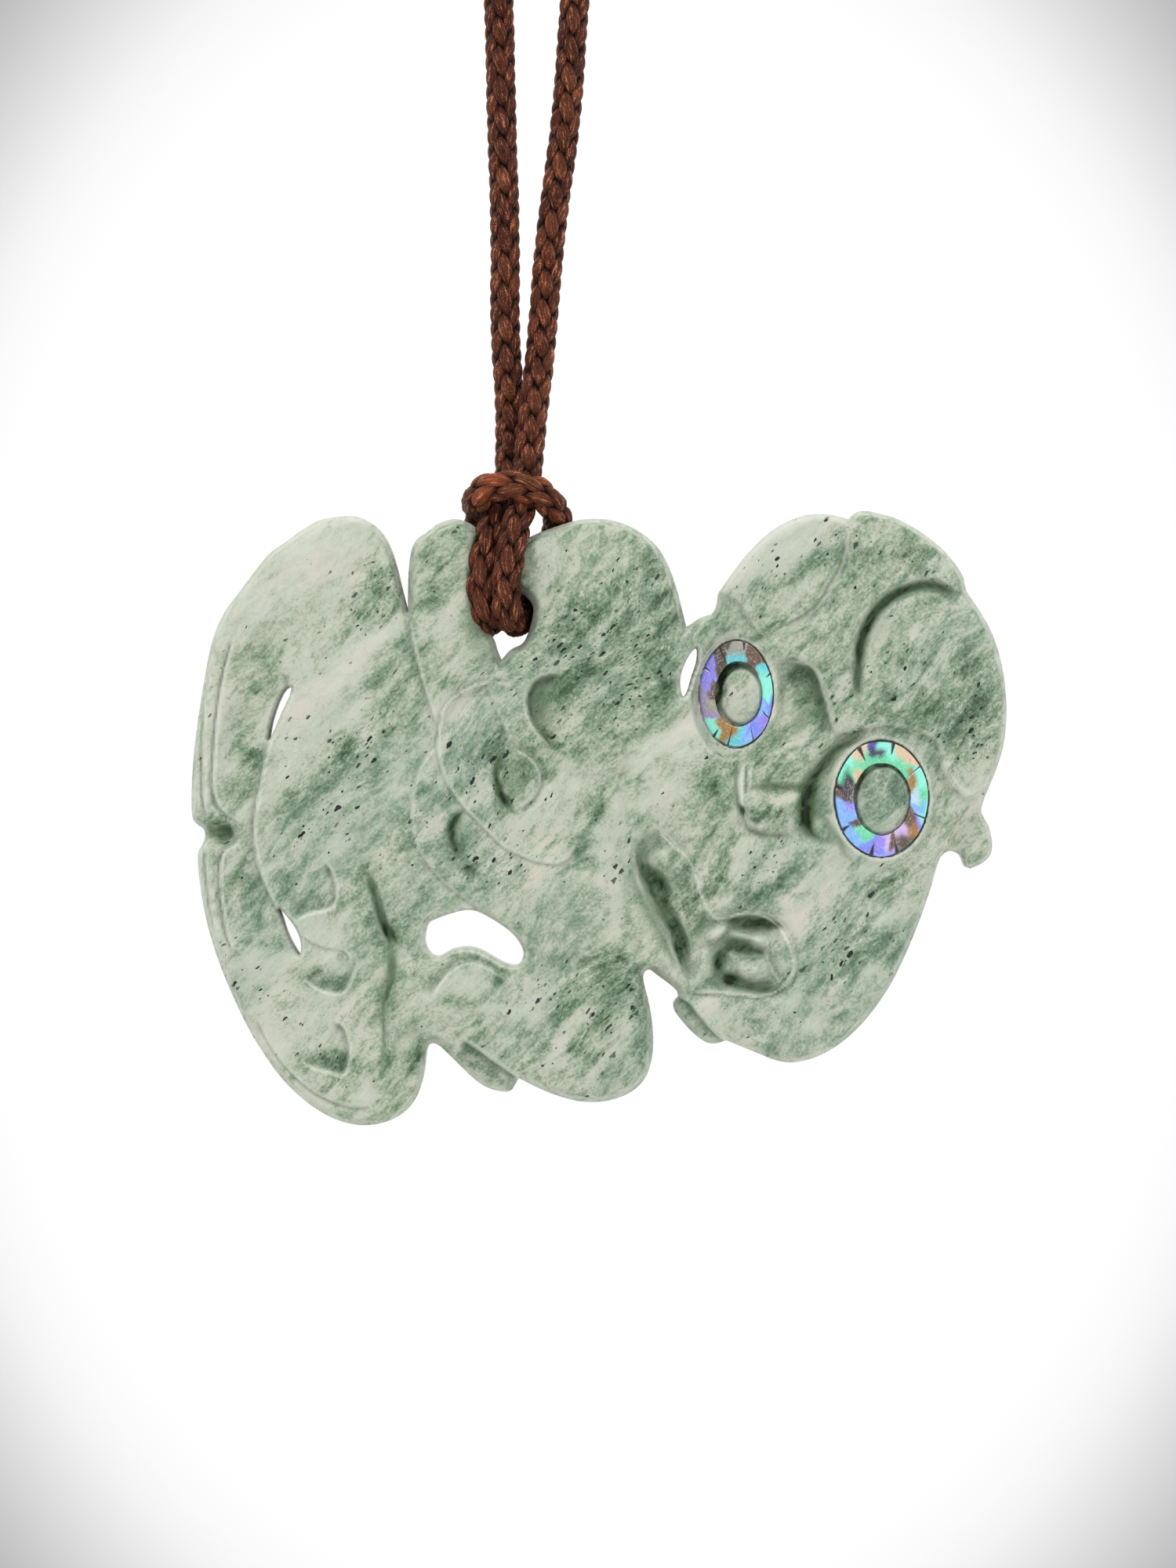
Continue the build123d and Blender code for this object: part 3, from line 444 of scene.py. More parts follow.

# Marbling charted from the picture: middle, half length and half width in pixels, how far the
# length rises to the right in degrees, and how much paler (above 0) or greener (below 0). A few
# patches are painted light instead: highlights on the nose, and painted shade in the foot and
# heel scoops and under the nose
tonePatches = [
    # leg and crescent
    (430, 690, 75, 36, 20, .9), (335, 770, 70, 30, 60, .45), (277, 900, 110, 15, 85, .5),
    (400, 722, 40, 18, 80, .4), (498, 812, 48, 10, 48, .8), (420, 862, 62, 13, 36, .7),
    (360, 912, 30, 11, 75, .7), (412, 938, 66, 13, 32, .6), (340, 1020, 40, 13, 50, .4),
    (480, 748, 34, 22, 65, -.6), (500, 775, 24, 16, 20, -.6), (466, 784, 18, 12, 0, -.4),
    (436, 812, 26, 12, 75, -.4), (350, 850, 30, 12, -60, -.45), (332, 880, 22, 13, 20, -.9),
    (318, 935, 24, 14, 60, -.85), (326, 966, 20, 16, 30, -.8), (312, 1002, 26, 14, 80, -.4),
    (446, 955, 22, 13, 60, -.9), (430, 984, 26, 11, 68, -.75), (398, 1006, 52, 18, 48, -.55),
    (378, 1018, 24, 14, 20, -.4), (476, 868, 18, 12, 20, -.6), (500, 905, 46, 11, 75, -.4),
    (514, 826, 14, 11, 0, -.45), (400, 886, 20, 7, 30, -.4), (378, 916, 14, 9, 0, -.35),
    (486, 986, 20, 14, 60, -.4), (536, 930, 17, 9, 50, -.6), (512, 958, 16, 9, 0, -.4),
    (542, 1012, 16, 11, 70, -.6), (570, 1012, 20, 13, 70, -.6), (292, 1052, 16, 16, 0, -.8),
    (316, 1112, 22, 13, 80, -.75), (328, 1142, 22, 13, -80, -.55), (324, 1168, 20, 12, 80, -.3),
    (362, 1128, 16, 11, -40, -.55), (400, 1150, 34, 9, 12, -.4), (345, 1206, 34, 10, 0, -.6),
    # the first two patches on this line are painted shade in the foot and heel scoops
    (425, 1248, 30, 14, -10, -.95), (422, 1350, 30, 15, -15, -1.2), (378, 1326, 12, 10, 0, -.35),
    (456, 1130, 30, 18, 80, -.4), (492, 1182, 28, 12, -62, -.8), (502, 1226, 22, 8, 90, -.6),
    (490, 1276, 26, 11, 62, -.75), (495, 1340, 38, 9, 88, -.5), (530, 1342, 22, 9, 82, -.6),
    (524, 1180, 28, 24, 0, -.35), (362, 1276, 20, 15, 30, -.25), (266, 1175, 60, 16, 100, .5),
    (330, 1238, 32, 12, 0, .45), (345, 1322, 28, 16, -50, .65), (428, 1090, 26, 11, 50, .6),
    (480, 1088, 20, 11, 10, .45), (390, 1176, 20, 14, 40, .45), (426, 1190, 24, 11, -10, .5),
    (430, 1226, 40, 8, 0, .4), (465, 1396, 22, 14, 60, .75), (402, 1404, 24, 9, -35, .5),
    (590, 1246, 30, 11, 20, .95), (548, 1270, 20, 13, 20, .4), (610, 1292, 80, 10, 4, .35),
    (576, 1280, 16, 12, 0, -.3), (635, 1242, 14, 11, 0, -.75), (600, 1218, 30, 8, 0, -.4),
    (628, 1362, 30, 7, -38, -.5),
    # chest, hand and forearm
    (578, 1068, 28, 11, -78, -.7), (600, 1108, 14, 9, 0, -.7), (632, 1122, 24, 9, 30, -.65),
    (515, 1072, 14, 11, 60, -.35), (546, 1130, 14, 11, 0, -.3), (562, 712, 16, 11, 0, -.5),
    (554, 760, 18, 11, 80, -.4), (584, 870, 22, 11, 40, -.4), (568, 905, 24, 13, 30, .6),
    (556, 955, 20, 10, 80, .4), (572, 800, 30, 18, 60, .5), (640, 930, 30, 16, 60, -.65),
    (608, 962, 28, 22, 50, -.6), (633, 976, 24, 11, -75, -.75), (645, 1020, 14, 13, 0, -.7),
    (666, 980, 24, 18, 60, -.5), (720, 990, 18, 13, 50, .75), (620, 1012, 14, 11, 60, .5),
    (690, 1028, 30, 16, 60, .55), (660, 1060, 20, 12, 60, .7), (715, 1086, 14, 11, 30, .6),
    # upper arm
    (725, 782, 20, 9, 50, -.5), (775, 766, 40, 11, 45, -.55), (825, 726, 14, 12, 80, -.65),
    (815, 682, 12, 9, 0, -.3), (824, 780, 52, 12, 42, -.85), (846, 804, 30, 10, 45, -.95),
    (832, 826, 18, 10, 20, -.85), (846, 850, 22, 17, 60, -.9), (840, 886, 26, 16, 50, -.85),
    (732, 812, 40, 20, 45, -.55), (740, 862, 20, 14, 45, -.9), (714, 882, 20, 11, 20, -.7),
    (695, 946, 16, 9, 0, -.7), (740, 965, 20, 9, 20, -.6), (782, 912, 26, 16, 30, -.45),
    (782, 972, 26, 16, 60, -.4), (762, 1022, 26, 12, 75, -.5), (755, 826, 20, 16, 45, .25),
    (694, 745, 40, 11, 80, .45), (722, 716, 24, 18, 45, .4), (850, 950, 52, 20, 20, .85),
    (884, 922, 30, 16, 60, .45), (820, 1016, 42, 18, 10, .6), (780, 1080, 60, 15, 86, .6),
    (780, 1152, 40, 11, 82, .6), (740, 1086, 16, 12, 60, -.6), (742, 1142, 20, 13, 60, -.4),
    # lower arm
    (690, 1265, 40, 17, 75, .5), (690, 1122, 30, 17, 60, .35), (780, 1232, 32, 17, -10, -.95),
    (800, 1256, 20, 15, 60, -.8), (764, 1266, 30, 15, 70, -.65), (815, 1292, 20, 14, 80, -.65),
    (820, 1336, 22, 16, 80, -.8), (806, 1370, 20, 12, 60, -.55), (726, 1270, 24, 14, 60, -.45),
    (714, 1290, 20, 10, 30, -.5), (690, 1330, 18, 11, 50, -.65), (666, 1316, 20, 12, 20, -.4),
    (740, 1332, 22, 15, 60, -.55), (766, 1346, 12, 10, 0, -.45), (766, 1306, 16, 9, 20, -.45),
    (715, 1228, 12, 9, 0, -.45), (740, 1296, 30, 7, 50, .5), (710, 1332, 30, 9, 62, .35),
    (780, 1340, 36, 8, 55, .6), (816, 1180, 30, 15, -75, .45),
    # head
    (1000, 690, 70, 28, 30, .9), (942, 732, 30, 18, 50, .6), (1045, 715, 28, 13, 15, -.6),
    (1030, 776, 22, 9, 40, -.45), (990, 800, 14, 8, 20, -.35), (976, 762, 38, 10, -75, -.25),
    (1035, 822, 30, 14, 20, -.3), (1085, 762, 48, 18, 60, -.2), (1020, 860, 20, 8, 15, -.5),
    (1040, 905, 34, 14, -70, -.6), (1160, 712, 30, 11, 0, -.25), (1235, 916, 40, 18, 35, -.9),
    (1236, 852, 30, 13, -75, -.65), (1170, 850, 30, 11, -10, -.35), (1160, 896, 40, 13, 0, -.4),
    (1105, 916, 16, 11, 0, -.65), (1196, 912, 25, 17, 30, -.55), (1150, 800, 50, 18, 10, .3),
    (1190, 876, 15, 11, 0, .35), (1140, 870, 20, 15, 0, .3), (1000, 902, 40, 9, 75, .6),
    # the third patch on this line is painted shade under the nose
    (976, 870, 30, 9, -85, .45), (985, 985, 26, 22, 40, -.4), (985, 1045, 20, 9, 0, -.6),
    (1030, 1030, 44, 15, -80, -.6), (912, 1108, 42, 9, 52, -.95), (895, 1080, 20, 7, 50, -.5),
    (985, 1125, 42, 11, 40, -.85), (940, 1140, 20, 9, 10, -.6), (880, 1150, 40, 17, -75, -.4),
    (945, 1096, 22, 11, 50, .6), (990, 1090, 14, 11, 30, .45), (915, 1146, 20, 12, 30, .45),
    (1010, 1172, 36, 16, 60, .7), (1050, 1112, 32, 17, 50, .55), (1075, 1192, 36, 26, 40, -.35),
    (1130, 1130, 30, 13, 35, -.6), (1128, 1206, 18, 15, 0, -.65), (1086, 1228, 25, 9, 40, -.6),
    (1040, 1258, 14, 9, 0, -.55), (1026, 1212, 20, 9, 90, -.4), (1130, 1170, 22, 9, 40, .5),
    (1120, 1100, 32, 11, 10, .35), (1010, 1272, 36, 7, 50, .6), (905, 1292, 22, 10, -40, .6),
    (1030, 1310, 30, 13, 10, .45), (875, 1281, 16, 9, -20, -.4), (970, 1310, 16, 9, 0, -.25),
    (1065, 1315, 20, 12, 80, -.3), (845, 1020, 40, 22, 60, .35), (1240, 1000, 30, 18, 60, .3),
    (1122, 1010, 40, 30, 60, -.75), (1136, 1040, 16, 10, 40, .5), (948, 895, 30, 20, 80, .3),
    # the patches on this line are painted highlights on the nose's bars and wing, and the first on
    # the next line is painted shade below the wing
    (945, 1000, 24, 5, 88, .9), (1000, 1016, 22, 7, 10, .7), (952, 1046, 12, 5, -70, .7),
    (975, 1036, 18, 8, 10, -.3), (400, 900, 140, 80, 78, .42), (370, 1260, 110, 70, -50, .38),
    (1190, 860, 90, 110, 0, -.36), (785, 800, 90, 100, 0, -.25), (880, 990, 60, 50, 0, -.25),
    (410, 740, 70, 60, 40, .25), (1000, 1214, 30, 14, -78, -.7), (868, 1000, 40, 30, 40, .2),
]
# Painted shade where the picture is darkest, in the same measures: how dark
shadePatches = [
    # mouth: the lumps that stand clear, and the soft shade round them
    (808, 1130, 30, 8, -70, .12), (845, 1190, 40, 8, -62, .12), (895, 1195, 24, 10, -60, .12),
    (930, 1196, 44, 26, -10, .2), (955, 1174, 40, 9, -6, .25), (948, 1210, 28, 9, -12, .2),
    (920, 1226, 18, 10, 70, .3), (934, 1250, 20, 10, -14, .3), (972, 1260, 34, 8, -4, .3),
    (895, 1232, 22, 13, 84, -.25), (960, 1234, 24, 13, -8, -.35), (996, 1218, 34, 15, -78, -.2),
    (971, 1199, 13, 11, 20, -.3), (910, 1188, 16, 7, 34, -.35), (882, 1173, 14, 9, -60, -.15),
    # socket and hollow of the eyes, and the painted shadow of the rings' walls on the pupils
    (1034, 1036, 34, 10, 84, .2), (1045, 1000, 40, 16, 70, .16), (1046, 890, 26, 9, -68, .4),
    (1034, 892, 28, 18, -60, .22), (1018, 922, 16, 9, 40, .3), (1012, 853, 16, 6, -4, .25),
    (1062, 1066, 34, 5, -56, .35), (1097, 990, 24, 5, 62, .7), (1118, 974, 22, 4, 4, .6),
    (917, 880, 30, 6, 82, 1.0), (928, 855, 14, 6, 40, .9), (944, 850, 16, 4, 0, .6),
    # crown, leg, hand and shoulder; the last four are the painted shadow of the cord beside it
    (1110, 802, 40, 12, 56, .16), (1160, 758, 44, 9, 0, .12), (700, 892, 34, 24, 70, .2),
    (698, 948, 18, 6, -40, .1),
    (662, 990, 30, 18, 80, .18), (588, 1062, 26, 12, 86, .2),
    (480, 1140, 34, 12, -72, .16), (502, 1196, 18, 12, -60, .2), (498, 1250, 34, 12, 88, .14),
    (428, 1255, 22, 7, -10, .12), (262, 1060, 16, 7, 0, .35), (664, 690, 14, 8, 60, .25),
    (655, 760, 20, 10, 90, .3), (612, 820, 30, 14, -60, .22), (606, 780, 40, 8, 84, .2),
]
# Painted shade lines, each a run of points with their half widths in pixels and how dark they are
shadeLines = [
    # crevice of the mouth
    [(838, 1060, 5, .15), (824, 1069, 7, .35), (815, 1085, 8, .4), (814, 1100, 8, .45)],
    [(817, 1098, 7, .4), (822, 1110, 10, .75), (831, 1120, 12, .8), (840, 1132, 15, .9),
     (845, 1147, 12, .85), (850, 1163, 9, .6), (859, 1181, 11, .8), (867, 1195, 10, .7),
     (868, 1208, 11, .8), (871, 1223, 10, .65), (877, 1237, 8, .45), (884, 1248, 6, .1)],
    [(808, 1112, 8, .1), (822, 1140, 12, .3), (840, 1178, 12, .3), (856, 1212, 9, .3),
     (868, 1240, 6, .1)],
    # pockets and lumps of the mouth
    [(918, 1172, 4, .15), (930, 1173, 8, .25), (945, 1174, 9, .35), (963, 1174, 10, .45),
     (980, 1177, 8, .6), (993, 1181, 4, .5)],
    [(928, 1201, 6, .15), (938, 1207, 8, .4), (950, 1209, 8, .45), (962, 1212, 5, .4),
     (973, 1218, 3, .4), (978, 1228, 2, .3), (986, 1242, 2, .25)],
    [(917, 1212, 6, .2), (916, 1222, 7, .35), (914, 1230, 4, .7), (920, 1240, 7, .3)],
    [(921, 1242, 7, .3), (931, 1249, 8, .75), (941, 1252, 8, .45), (958, 1257, 7, .25),
     (982, 1261, 7, .3), (999, 1260, 4, .3)],
    [(896, 1166, 4, .3), (893, 1176, 5, .35), (890, 1188, 5, .2)],
    # socket
    [(1118, 942, 3, .15), (1096, 945, 5, .35), (1078, 950, 5, .5), (1064, 958, 6, .6),
     (1053, 970, 7, .55), (1041, 986, 8, .55), (1033, 1002, 8, .8), (1027, 1018, 8, 1.0),
     (1025, 1036, 8, 1.05), (1027, 1052, 7, .8), (1035, 1064, 5, .5), (1047, 1071, 4, .35),
     (1062, 1076, 3, .1)],
    # nose
    [(957, 1004, 3, .3), (980, 1005, 4, .4), (1008, 1004, 5, .4), (1030, 1006, 5, .5)],
    [(938, 980, 2, .2), (938, 1000, 2.5, .4), (940, 1024, 3, .5), (946, 1033, 4.5, .8),
     (948, 1042, 2, .4), (953, 1056, 2.5, .4), (970, 1064, 4, .4), (1000, 1066, 5, .35)],
    [(950, 975, 1.6, .2), (949, 990, 1.6, .5), (950, 1010, 1.6, .4)],
    # ribs of the rim
    [(297, 815, 1.2, .1), (288, 850, 1.4, .4), (281, 885, 1.8, .3), (276, 925, 2, .35),
     (273, 965, 2, .35), (272, 1000, 2, .4), (276, 1024, 2, .4), (286, 1039, 1.3, .2)],
    [(269, 852, 1.2, .1), (263, 885, 1.6, .25), (260, 925, 1.8, .3), (259, 965, 1.8, .35),
     (259, 1005, 1.4, .45), (261, 1030, 1.2, .2)],
    [(300, 1076, 1.2, .2), (288, 1085, 1.4, .4), (282, 1098, 1.8, .4), (281, 1115, 1.8, .4),
     (282, 1140, 1.7, .35), (285, 1165, 1.4, .4), (290, 1192, 1.3, .3), (297, 1213, 1.2, .1)],
    [(262, 1082, 1.2, .2), (263, 1100, 1.6, .35), (265, 1125, 1.6, .35), (268, 1152, 1.3, .4),
     (273, 1180, 1.2, .2)],
    # brow seam
    [(1078, 680, 1.6, .1), (1070, 718, 1.8, .35), (1056, 747, 1.8, .4), (1037, 775, 1.8, .4),
     (1014, 791, 1.8, .4), (992, 802, 1.8, .3)],
    # crown groove
    [(1224, 760, 2, .2), (1208, 757, 4, .5), (1195, 751, 5, .6), (1180, 748, 5, .6),
     (1160, 751, 5, .6), (1141, 759, 6, .6), (1125, 770, 6, .7), (1112, 785, 6, .75),
     (1102, 803, 6, .75), (1096, 822, 6, .7), (1093, 845, 5, .6), (1091, 868, 5, .5),
     (1091, 900, 3, .15)],
    # leg crease
    [(472, 1112, 3, .1), (474, 1122, 4, .3), (479, 1142, 3, .45), (484, 1160, 3, .6),
     (489, 1176, 4, .7), (498, 1190, 6, .75), (508, 1199, 4, .3)],
    [(500, 1208, 4, .1), (502, 1232, 6, .3), (499, 1250, 6, .35), (496, 1264, 3, .55),
     (490, 1285, 2.5, .4), (491, 1318, 2, .45), (491, 1345, 2.2, .3), (488, 1372, 2, .1)],
    # hand and shoulder
    [(647, 952, 2, .2), (638, 966, 3, .5), (633, 986, 3, .7), (636, 1004, 4, .85),
     (643, 1020, 4, .9), (652, 1033, 3, .7), (660, 1036, 2, .2)],
    [(594, 1032, 2, .2), (584, 1042, 4, .7), (577, 1056, 4.5, .9), (577, 1070, 4, .7),
     (581, 1082, 3.5, .8), (587, 1092, 3, .5)],
    [(584, 1104, 2, .2), (598, 1110, 3, .6), (612, 1116, 2, .3)],
    [(720, 863, 2, .1), (703, 862, 3, .35), (690, 866, 4, .4), (680, 875, 4, .5),
     (675, 889, 4, .5), (675, 904, 4, .45), (680, 920, 4, .35), (691, 937, 3.5, .35),
     (700, 948, 3, .5), (710, 956, 3, .35), (722, 960, 2, .1)],
    [(712, 870, 8, .1), (697, 874, 9, .3), (688, 886, 10, .4), (686, 902, 10, .35),
     (692, 920, 8, .2), (702, 936, 6, .05)],
]
# Painted highlight lines on edges and ridges, in the same measures
highlightLines = [
    [(946, 976, 2.5, .3), (944, 990, 3, .7), (943, 1008, 3, .7), (945, 1024, 2.5, .4)],
    [(958, 974, 2, .3), (955, 986, 2.2, .6), (955, 1003, 2, .4)],
    [(950, 1035, 1.6, .4), (951, 1047, 2, .6), (959, 1057, 2, .4)],
    [(838, 1055, 1.4, .4), (853, 1067, 1.4, .55), (867, 1080, 1.4, .5), (873, 1089, 1.2, .1)],
    [(886, 1114, 3, .3), (890, 1124, 4, .75), (894, 1138, 2.4, .5), (900, 1156, 1.6, .45),
     (912, 1165, 1.6, .5), (930, 1166, 1.6, .4), (945, 1163, 1.5, .5), (960, 1161, 1.5, .6),
     (975, 1164, 1.5, .6), (989, 1171, 1.5, .6), (1000, 1183, 1.5, .6), (1008, 1200, 1.6, .65),
     (1013, 1218, 1.6, .65), (1013, 1236, 1.6, .6), (1008, 1249, 1.5, .5), (1000, 1259, 1.4, .4),
     (993, 1266, 1.2, .1)],
    [(994, 1181, 1.3, .4), (981, 1194, 1.5, .6), (977, 1211, 1.6, .7), (979, 1224, 1.5, .6),
     (986, 1238, 1.4, .5), (995, 1250, 1.3, .3)],
    [(833, 1198, 4, .1), (844, 1216, 5, .3), (856, 1236, 5, .3), (862, 1248, 4, .1)],
    [(1081, 668, 1.5, .4), (1079, 690, 1.7, .8), (1074, 720, 1.7, .8), (1060, 750, 1.8, .9),
     (1041, 778, 1.8, .9), (1017, 795, 1.9, .95), (994, 806, 1.9, .95), (972, 818, 1.5, .4)],
    [(1004, 845, 1.6, .3), (1024, 847, 1.9, .9), (1036, 853, 2.0, 1.0), (1044, 868, 1.9, 1.0),
     (1051, 890, 1.8, 1.0), (1057, 912, 1.7, .8), (1066, 938, 1.4, .2)],
    [(974, 824, 1.4, .2), (978, 850, 1.6, .5), (983, 878, 1.6, .5), (980, 900, 1.5, .4),
     (979, 930, 1.3, .1)],
    [(870, 892, 2, .1), (850, 913, 3, .35), (826, 936, 3, .3), (812, 956, 2, .1)],
    [(1205, 966, 1.5, .2), (1209, 985, 2, .6), (1218, 1001, 2.4, .7), (1233, 1011, 2, .6),
     (1246, 1012, 1.5, .2)],
]
# How strongly the edges of some steps get a painted highlight, drawn like the lines above
highlightedEdges = dict(hand=0.6, chestRing=0.5, finger=0.35, knuckle=0.2, knee=0.55, footScoop=0.5,
                 heelScoop=0.5, heelEdge=0.4, ankle=0.4, forearmEdge=0.4, rib1=0.6, rib2=0.5,
                 lowRib1=0.6, lowRib3=0.5, baseRim=0.45, shin=0.4, shoulderScoop=0.3)
# Where small dark flecks gather
fleckDrifts = [
    (486, 752, 30, 36, 60, 1.0), (452, 806, 40, 22, 48, .6), (458, 940, 46, 26, 52, 1.0),
    (360, 950, 40, 20, 70, .5), (420, 1040, 60, 26, 50, .7), (545, 1050, 46, 26, 80, .9),
    (600, 1090, 40, 20, 40, .7), (610, 975, 44, 28, 60, .9), (655, 1010, 34, 24, 70, .6),
    (720, 820, 70, 26, 44, 1.0), (800, 870, 60, 34, 50, 1.0), (810, 760, 50, 26, 50, .8),
    (710, 720, 40, 22, 50, .35), (700, 920, 40, 22, 40, .6), (650, 1100, 40, 22, 30, .5),
    (700, 1260, 50, 24, 30, .6), (780, 1300, 60, 34, 60, .8), (700, 1340, 50, 18, 20, .4),
    (300, 1230, 50, 24, -60, .4), (400, 1330, 60, 24, -40, .35), (1230, 930, 50, 30, 50, 1.0),
    (1150, 850, 60, 40, 30, .45), (1150, 720, 70, 26, -20, .5), (1000, 720, 60, 26, 30, .35),
    (1060, 900, 30, 22, 60, .6), (985, 1100, 50, 20, 40, .7), (1080, 1220, 60, 34, 40, .5),
    (1040, 860, 24, 14, 0, .6), (790, 1110, 50, 16, 84, .4), (900, 1000, 40, 20, 40, .15),
]
toneSetup = dict(
    # mm that the places of the marbling, the painted shade patches and the lines wander
    warp=0.55, darkWarp=0.28, lineWarp=0.07,
    # mm from one bend of that to the next
    warpSize=2.2, darkWarpSize=0.85, lineWarpSize=0.42,
    followTone=0.3,       # how far the painted shade patches wander along with the marbling
    # how a patch fades from its middle, and mm past its ends that it is worked out
    patchTight=0.92, patchFall=2.6, patchReach=1.2,
    lineReach=2.2,
    # painted highlights on step edges: half width in pixels, and half width and strength at their
    # tips
    edgeHighlightWidth=1.5, edgeHighlightTip=(1.2, 0.1),
    seed=11)

# Eyes: middle and half sizes of the shell ring in pixels, height of its face in mm, how far it
# turns to the left in degrees, the pupil as a share of the ring and its shift in pixels, the
# pupil's own middle and half sizes, and the direction in which the dark edging is faint
eyes = dict(
    upper=dict(
        node="eye_ring_upper", at=(938, 886), size=(46.5, 68.5), face=3.25, turn=20,
        pupil=(0.645, 0.605), shift=(3, 0), core=(944.5, 889, 25.5, 35.5), seed=3.0, faint=180,
        # direction in degrees, reach inwards and width in mm
        nicks=[(78, 0.5, 0.20), (22, 0.45, 0.14), (-27, 0.8, 0.10), (-62, 0.9, 0.09),
               (-104, 0.9, 0.12), (-128, 0.5, 0.18), (150, 0.5, 0.12), (118, 1.0, 0.12)],
        # direction, share of the way out and colour
        paint=[(90, 0.5, "pewter"), (90, 0.2, "teal"), (104, 0.9, "umber"), (62, 0.4, "brown"),
               (48, 0.7, "brown"), (30, 0.7, "teal"), (20, 0.4, "aqua"), (3, 0.6, "aqua"),
               (-12, 0.7, "blue"), (-24, 0.4, "sky"), (-40, 0.6, "violet"), (-55, 0.6, "blue"),
               (-70, 0.4, "sky"), (-84, 0.5, "teal"), (-98, 0.7, "teal"), (-108, 0.3, "gold"),
               (-120, 0.5, "gold"), (-132, 0.8, "aqua"), (-150, 0.5, "mauve"),
               (-165, 0.2, "pewter"), (180, 0.7, "mauve"), (176, 0.2, "brown"),
               (160, 0.5, "violet"), (145, 0.7, "violet"), (125, 0.5, "umber"),
               (135, 0.2, "umber")]),
    lower=dict(
        node="eye_ring_lower", at=(1121.6, 1018.5), size=(60, 74.5), face=4.15, turn=0,
        pupil=(0.60, 0.615), shift=(0.8, 0.5), core=(1124.5, 1021, 34, 43.5), seed=7.0, faint=None,
        nicks=[(34, 0.8, 0.10), (75, 0.6, 0.26), (119, 0.68, 0.28), (168, 0.5, 0.26),
               (-147, 0.5, 0.24), (-103, 0.58, 0.28), (-70, 0.58, 0.28), (-20, 1.0, 0.10)],
        paint=[(97, 0.85, "indigo"), (97, 0.55, "ink"), (88, 0.15, "green"), (108, 0.3, "green"),
               (82, 0.6, "aqua"), (62, 0.8, "peach"), (50, 0.7, "peach"), (58, 0.25, "green"),
               (42, 0.3, "green"), (26, 0.2, "gold"), (18, 0.7, "aqua"), (6, 0.7, "green"),
               (4, 0.2, "silver"), (-8, 0.5, "sky"), (-16, 0.8, "aqua"), (-28, 0.7, "violet"),
               (-34, 0.3, "brown"), (-42, 0.6, "gold"), (-50, 0.3, "lilac"), (-58, 0.7, "umber"),
               (-64, 0.3, "brown"), (-80, 0.4, "lilac"), (-88, 0.7, "blue"), (-96, 0.5, "violet"),
               (-112, 0.7, "blue"), (-124, 0.3, "green"), (-134, 0.7, "sky"),
               (-140, 0.2, "umber"), (-158, 0.5, "sky"), (-170, 0.7, "sky"), (-172, 0.3, "violet"),
               (174, 0.4, "umber"), (170, 0.8, "brown"), (160, 0.5, "ink"), (150, 0.5, "green"),
               (140, 0.8, "aqua"), (134, 0.4, "green"), (126, 0.7, "peach"),
               (142, 0.15, "peach")]),
)
eyeSetup = dict(
    shellThick=1.0, seatDepth=0.9, pupilDrop=0.42, pupilDome=0.22, nickDepth=0.07, around=420,
    # mm from and to which the stone comes to the seat's plane, the seat sinks, the pupil rises
    level=(0.1, 1.1), levelLift=0.02, seatEdge=(-0.05, 0.15), pupilEdge=(-0.10, 0.16),
    pupilShare=0.6,       # the pupil's size against the ring's, for those millimetres
    edging=(0.925, 0.95),  # share of the way out where the dark edging begins and is full
    faintHalf=58,         # degrees each way in which it is faint
    # share of the way out across the ring, and height over its plane in mm
    profile=[(0.0, -0.12), (0.012, -0.03), (0.045, 0.0), (0.12, 0.012), (0.25, 0.02),
             (0.38, 0.026), (0.5, 0.03), (0.62, 0.028), (0.72, 0.024), (0.80, 0.018),
             (0.86, 0.012), (0.90, 0.004), (0.925, -0.01), (0.945, -0.05), (0.955, -0.075),
             (0.97, -0.08), (0.99, -0.06), (1.0, -0.02)])

# The bar that the cord is hitched round, hidden behind it
barSetup = dict(left=(592, 718), right=(684, 718), halfHeight=2.0, halfDepth=1.9, ends=0.6)


def makeGrid(step):
    margin = 1.0
    low = np.array([stoneLow.x, stoneLow.z]) / mm - margin
    high = np.array([stoneHigh.x, stoneHigh.z]) / mm + margin
    return np.meshgrid(np.arange(low[0], high[0], step), np.arange(low[1], high[1], step))


# The part of the grid near some points
def near(grid, points, reach):
    x, z = grid
    low, high = points.min(0) - reach, points.max(0) + reach
    cols = np.flatnonzero((x[0] >= low[0]) & (x[0] <= high[0]))
    rows = np.flatnonzero((z[:, 0] >= low[1]) & (z[:, 0] <= high[1]))
    return slice(rows[0], rows[-1] + 1), slice(cols[0], cols[-1] + 1)


def closedLine(pixels):
    return smoothLine(fromPicture(pixels), closed=True)


# Millimetres inside a closed line, below 0 outside it, and -reach far from it
def signedDistance(grid, outline, reach):
    x, z = grid
    field = np.full(x.shape, -reach)
    spot = near(grid, outline, reach)
    distance, _, _, inside, _ = toLine(x[spot], z[spot], outline)
    field[spot] = np.where(inside, distance, -distance)
    return field


def addMass(relief, grid, mass):
    distance = signedDistance(grid, closedLine(mass["points"]), stoneSetup["nearIn"])
    towardsEdge = 1 - np.clip(distance / mass["roll"], 0, 1)
    shape = mass["top"] - mass["fall"] * stoneSetup["puff"] * towardsEdge ** 2
    mask = smoothStep(distance, -mass["edge"] / 2, mass["edge"] / 2)
    return relief + (np.maximum(relief, shape) - relief) * mask


# 0 at both ends of a line and 1 from a given way in
def fadeEnds(along, length, reach):
    return smoothStep(np.minimum(along, 1 - along) * length, 0, reach)


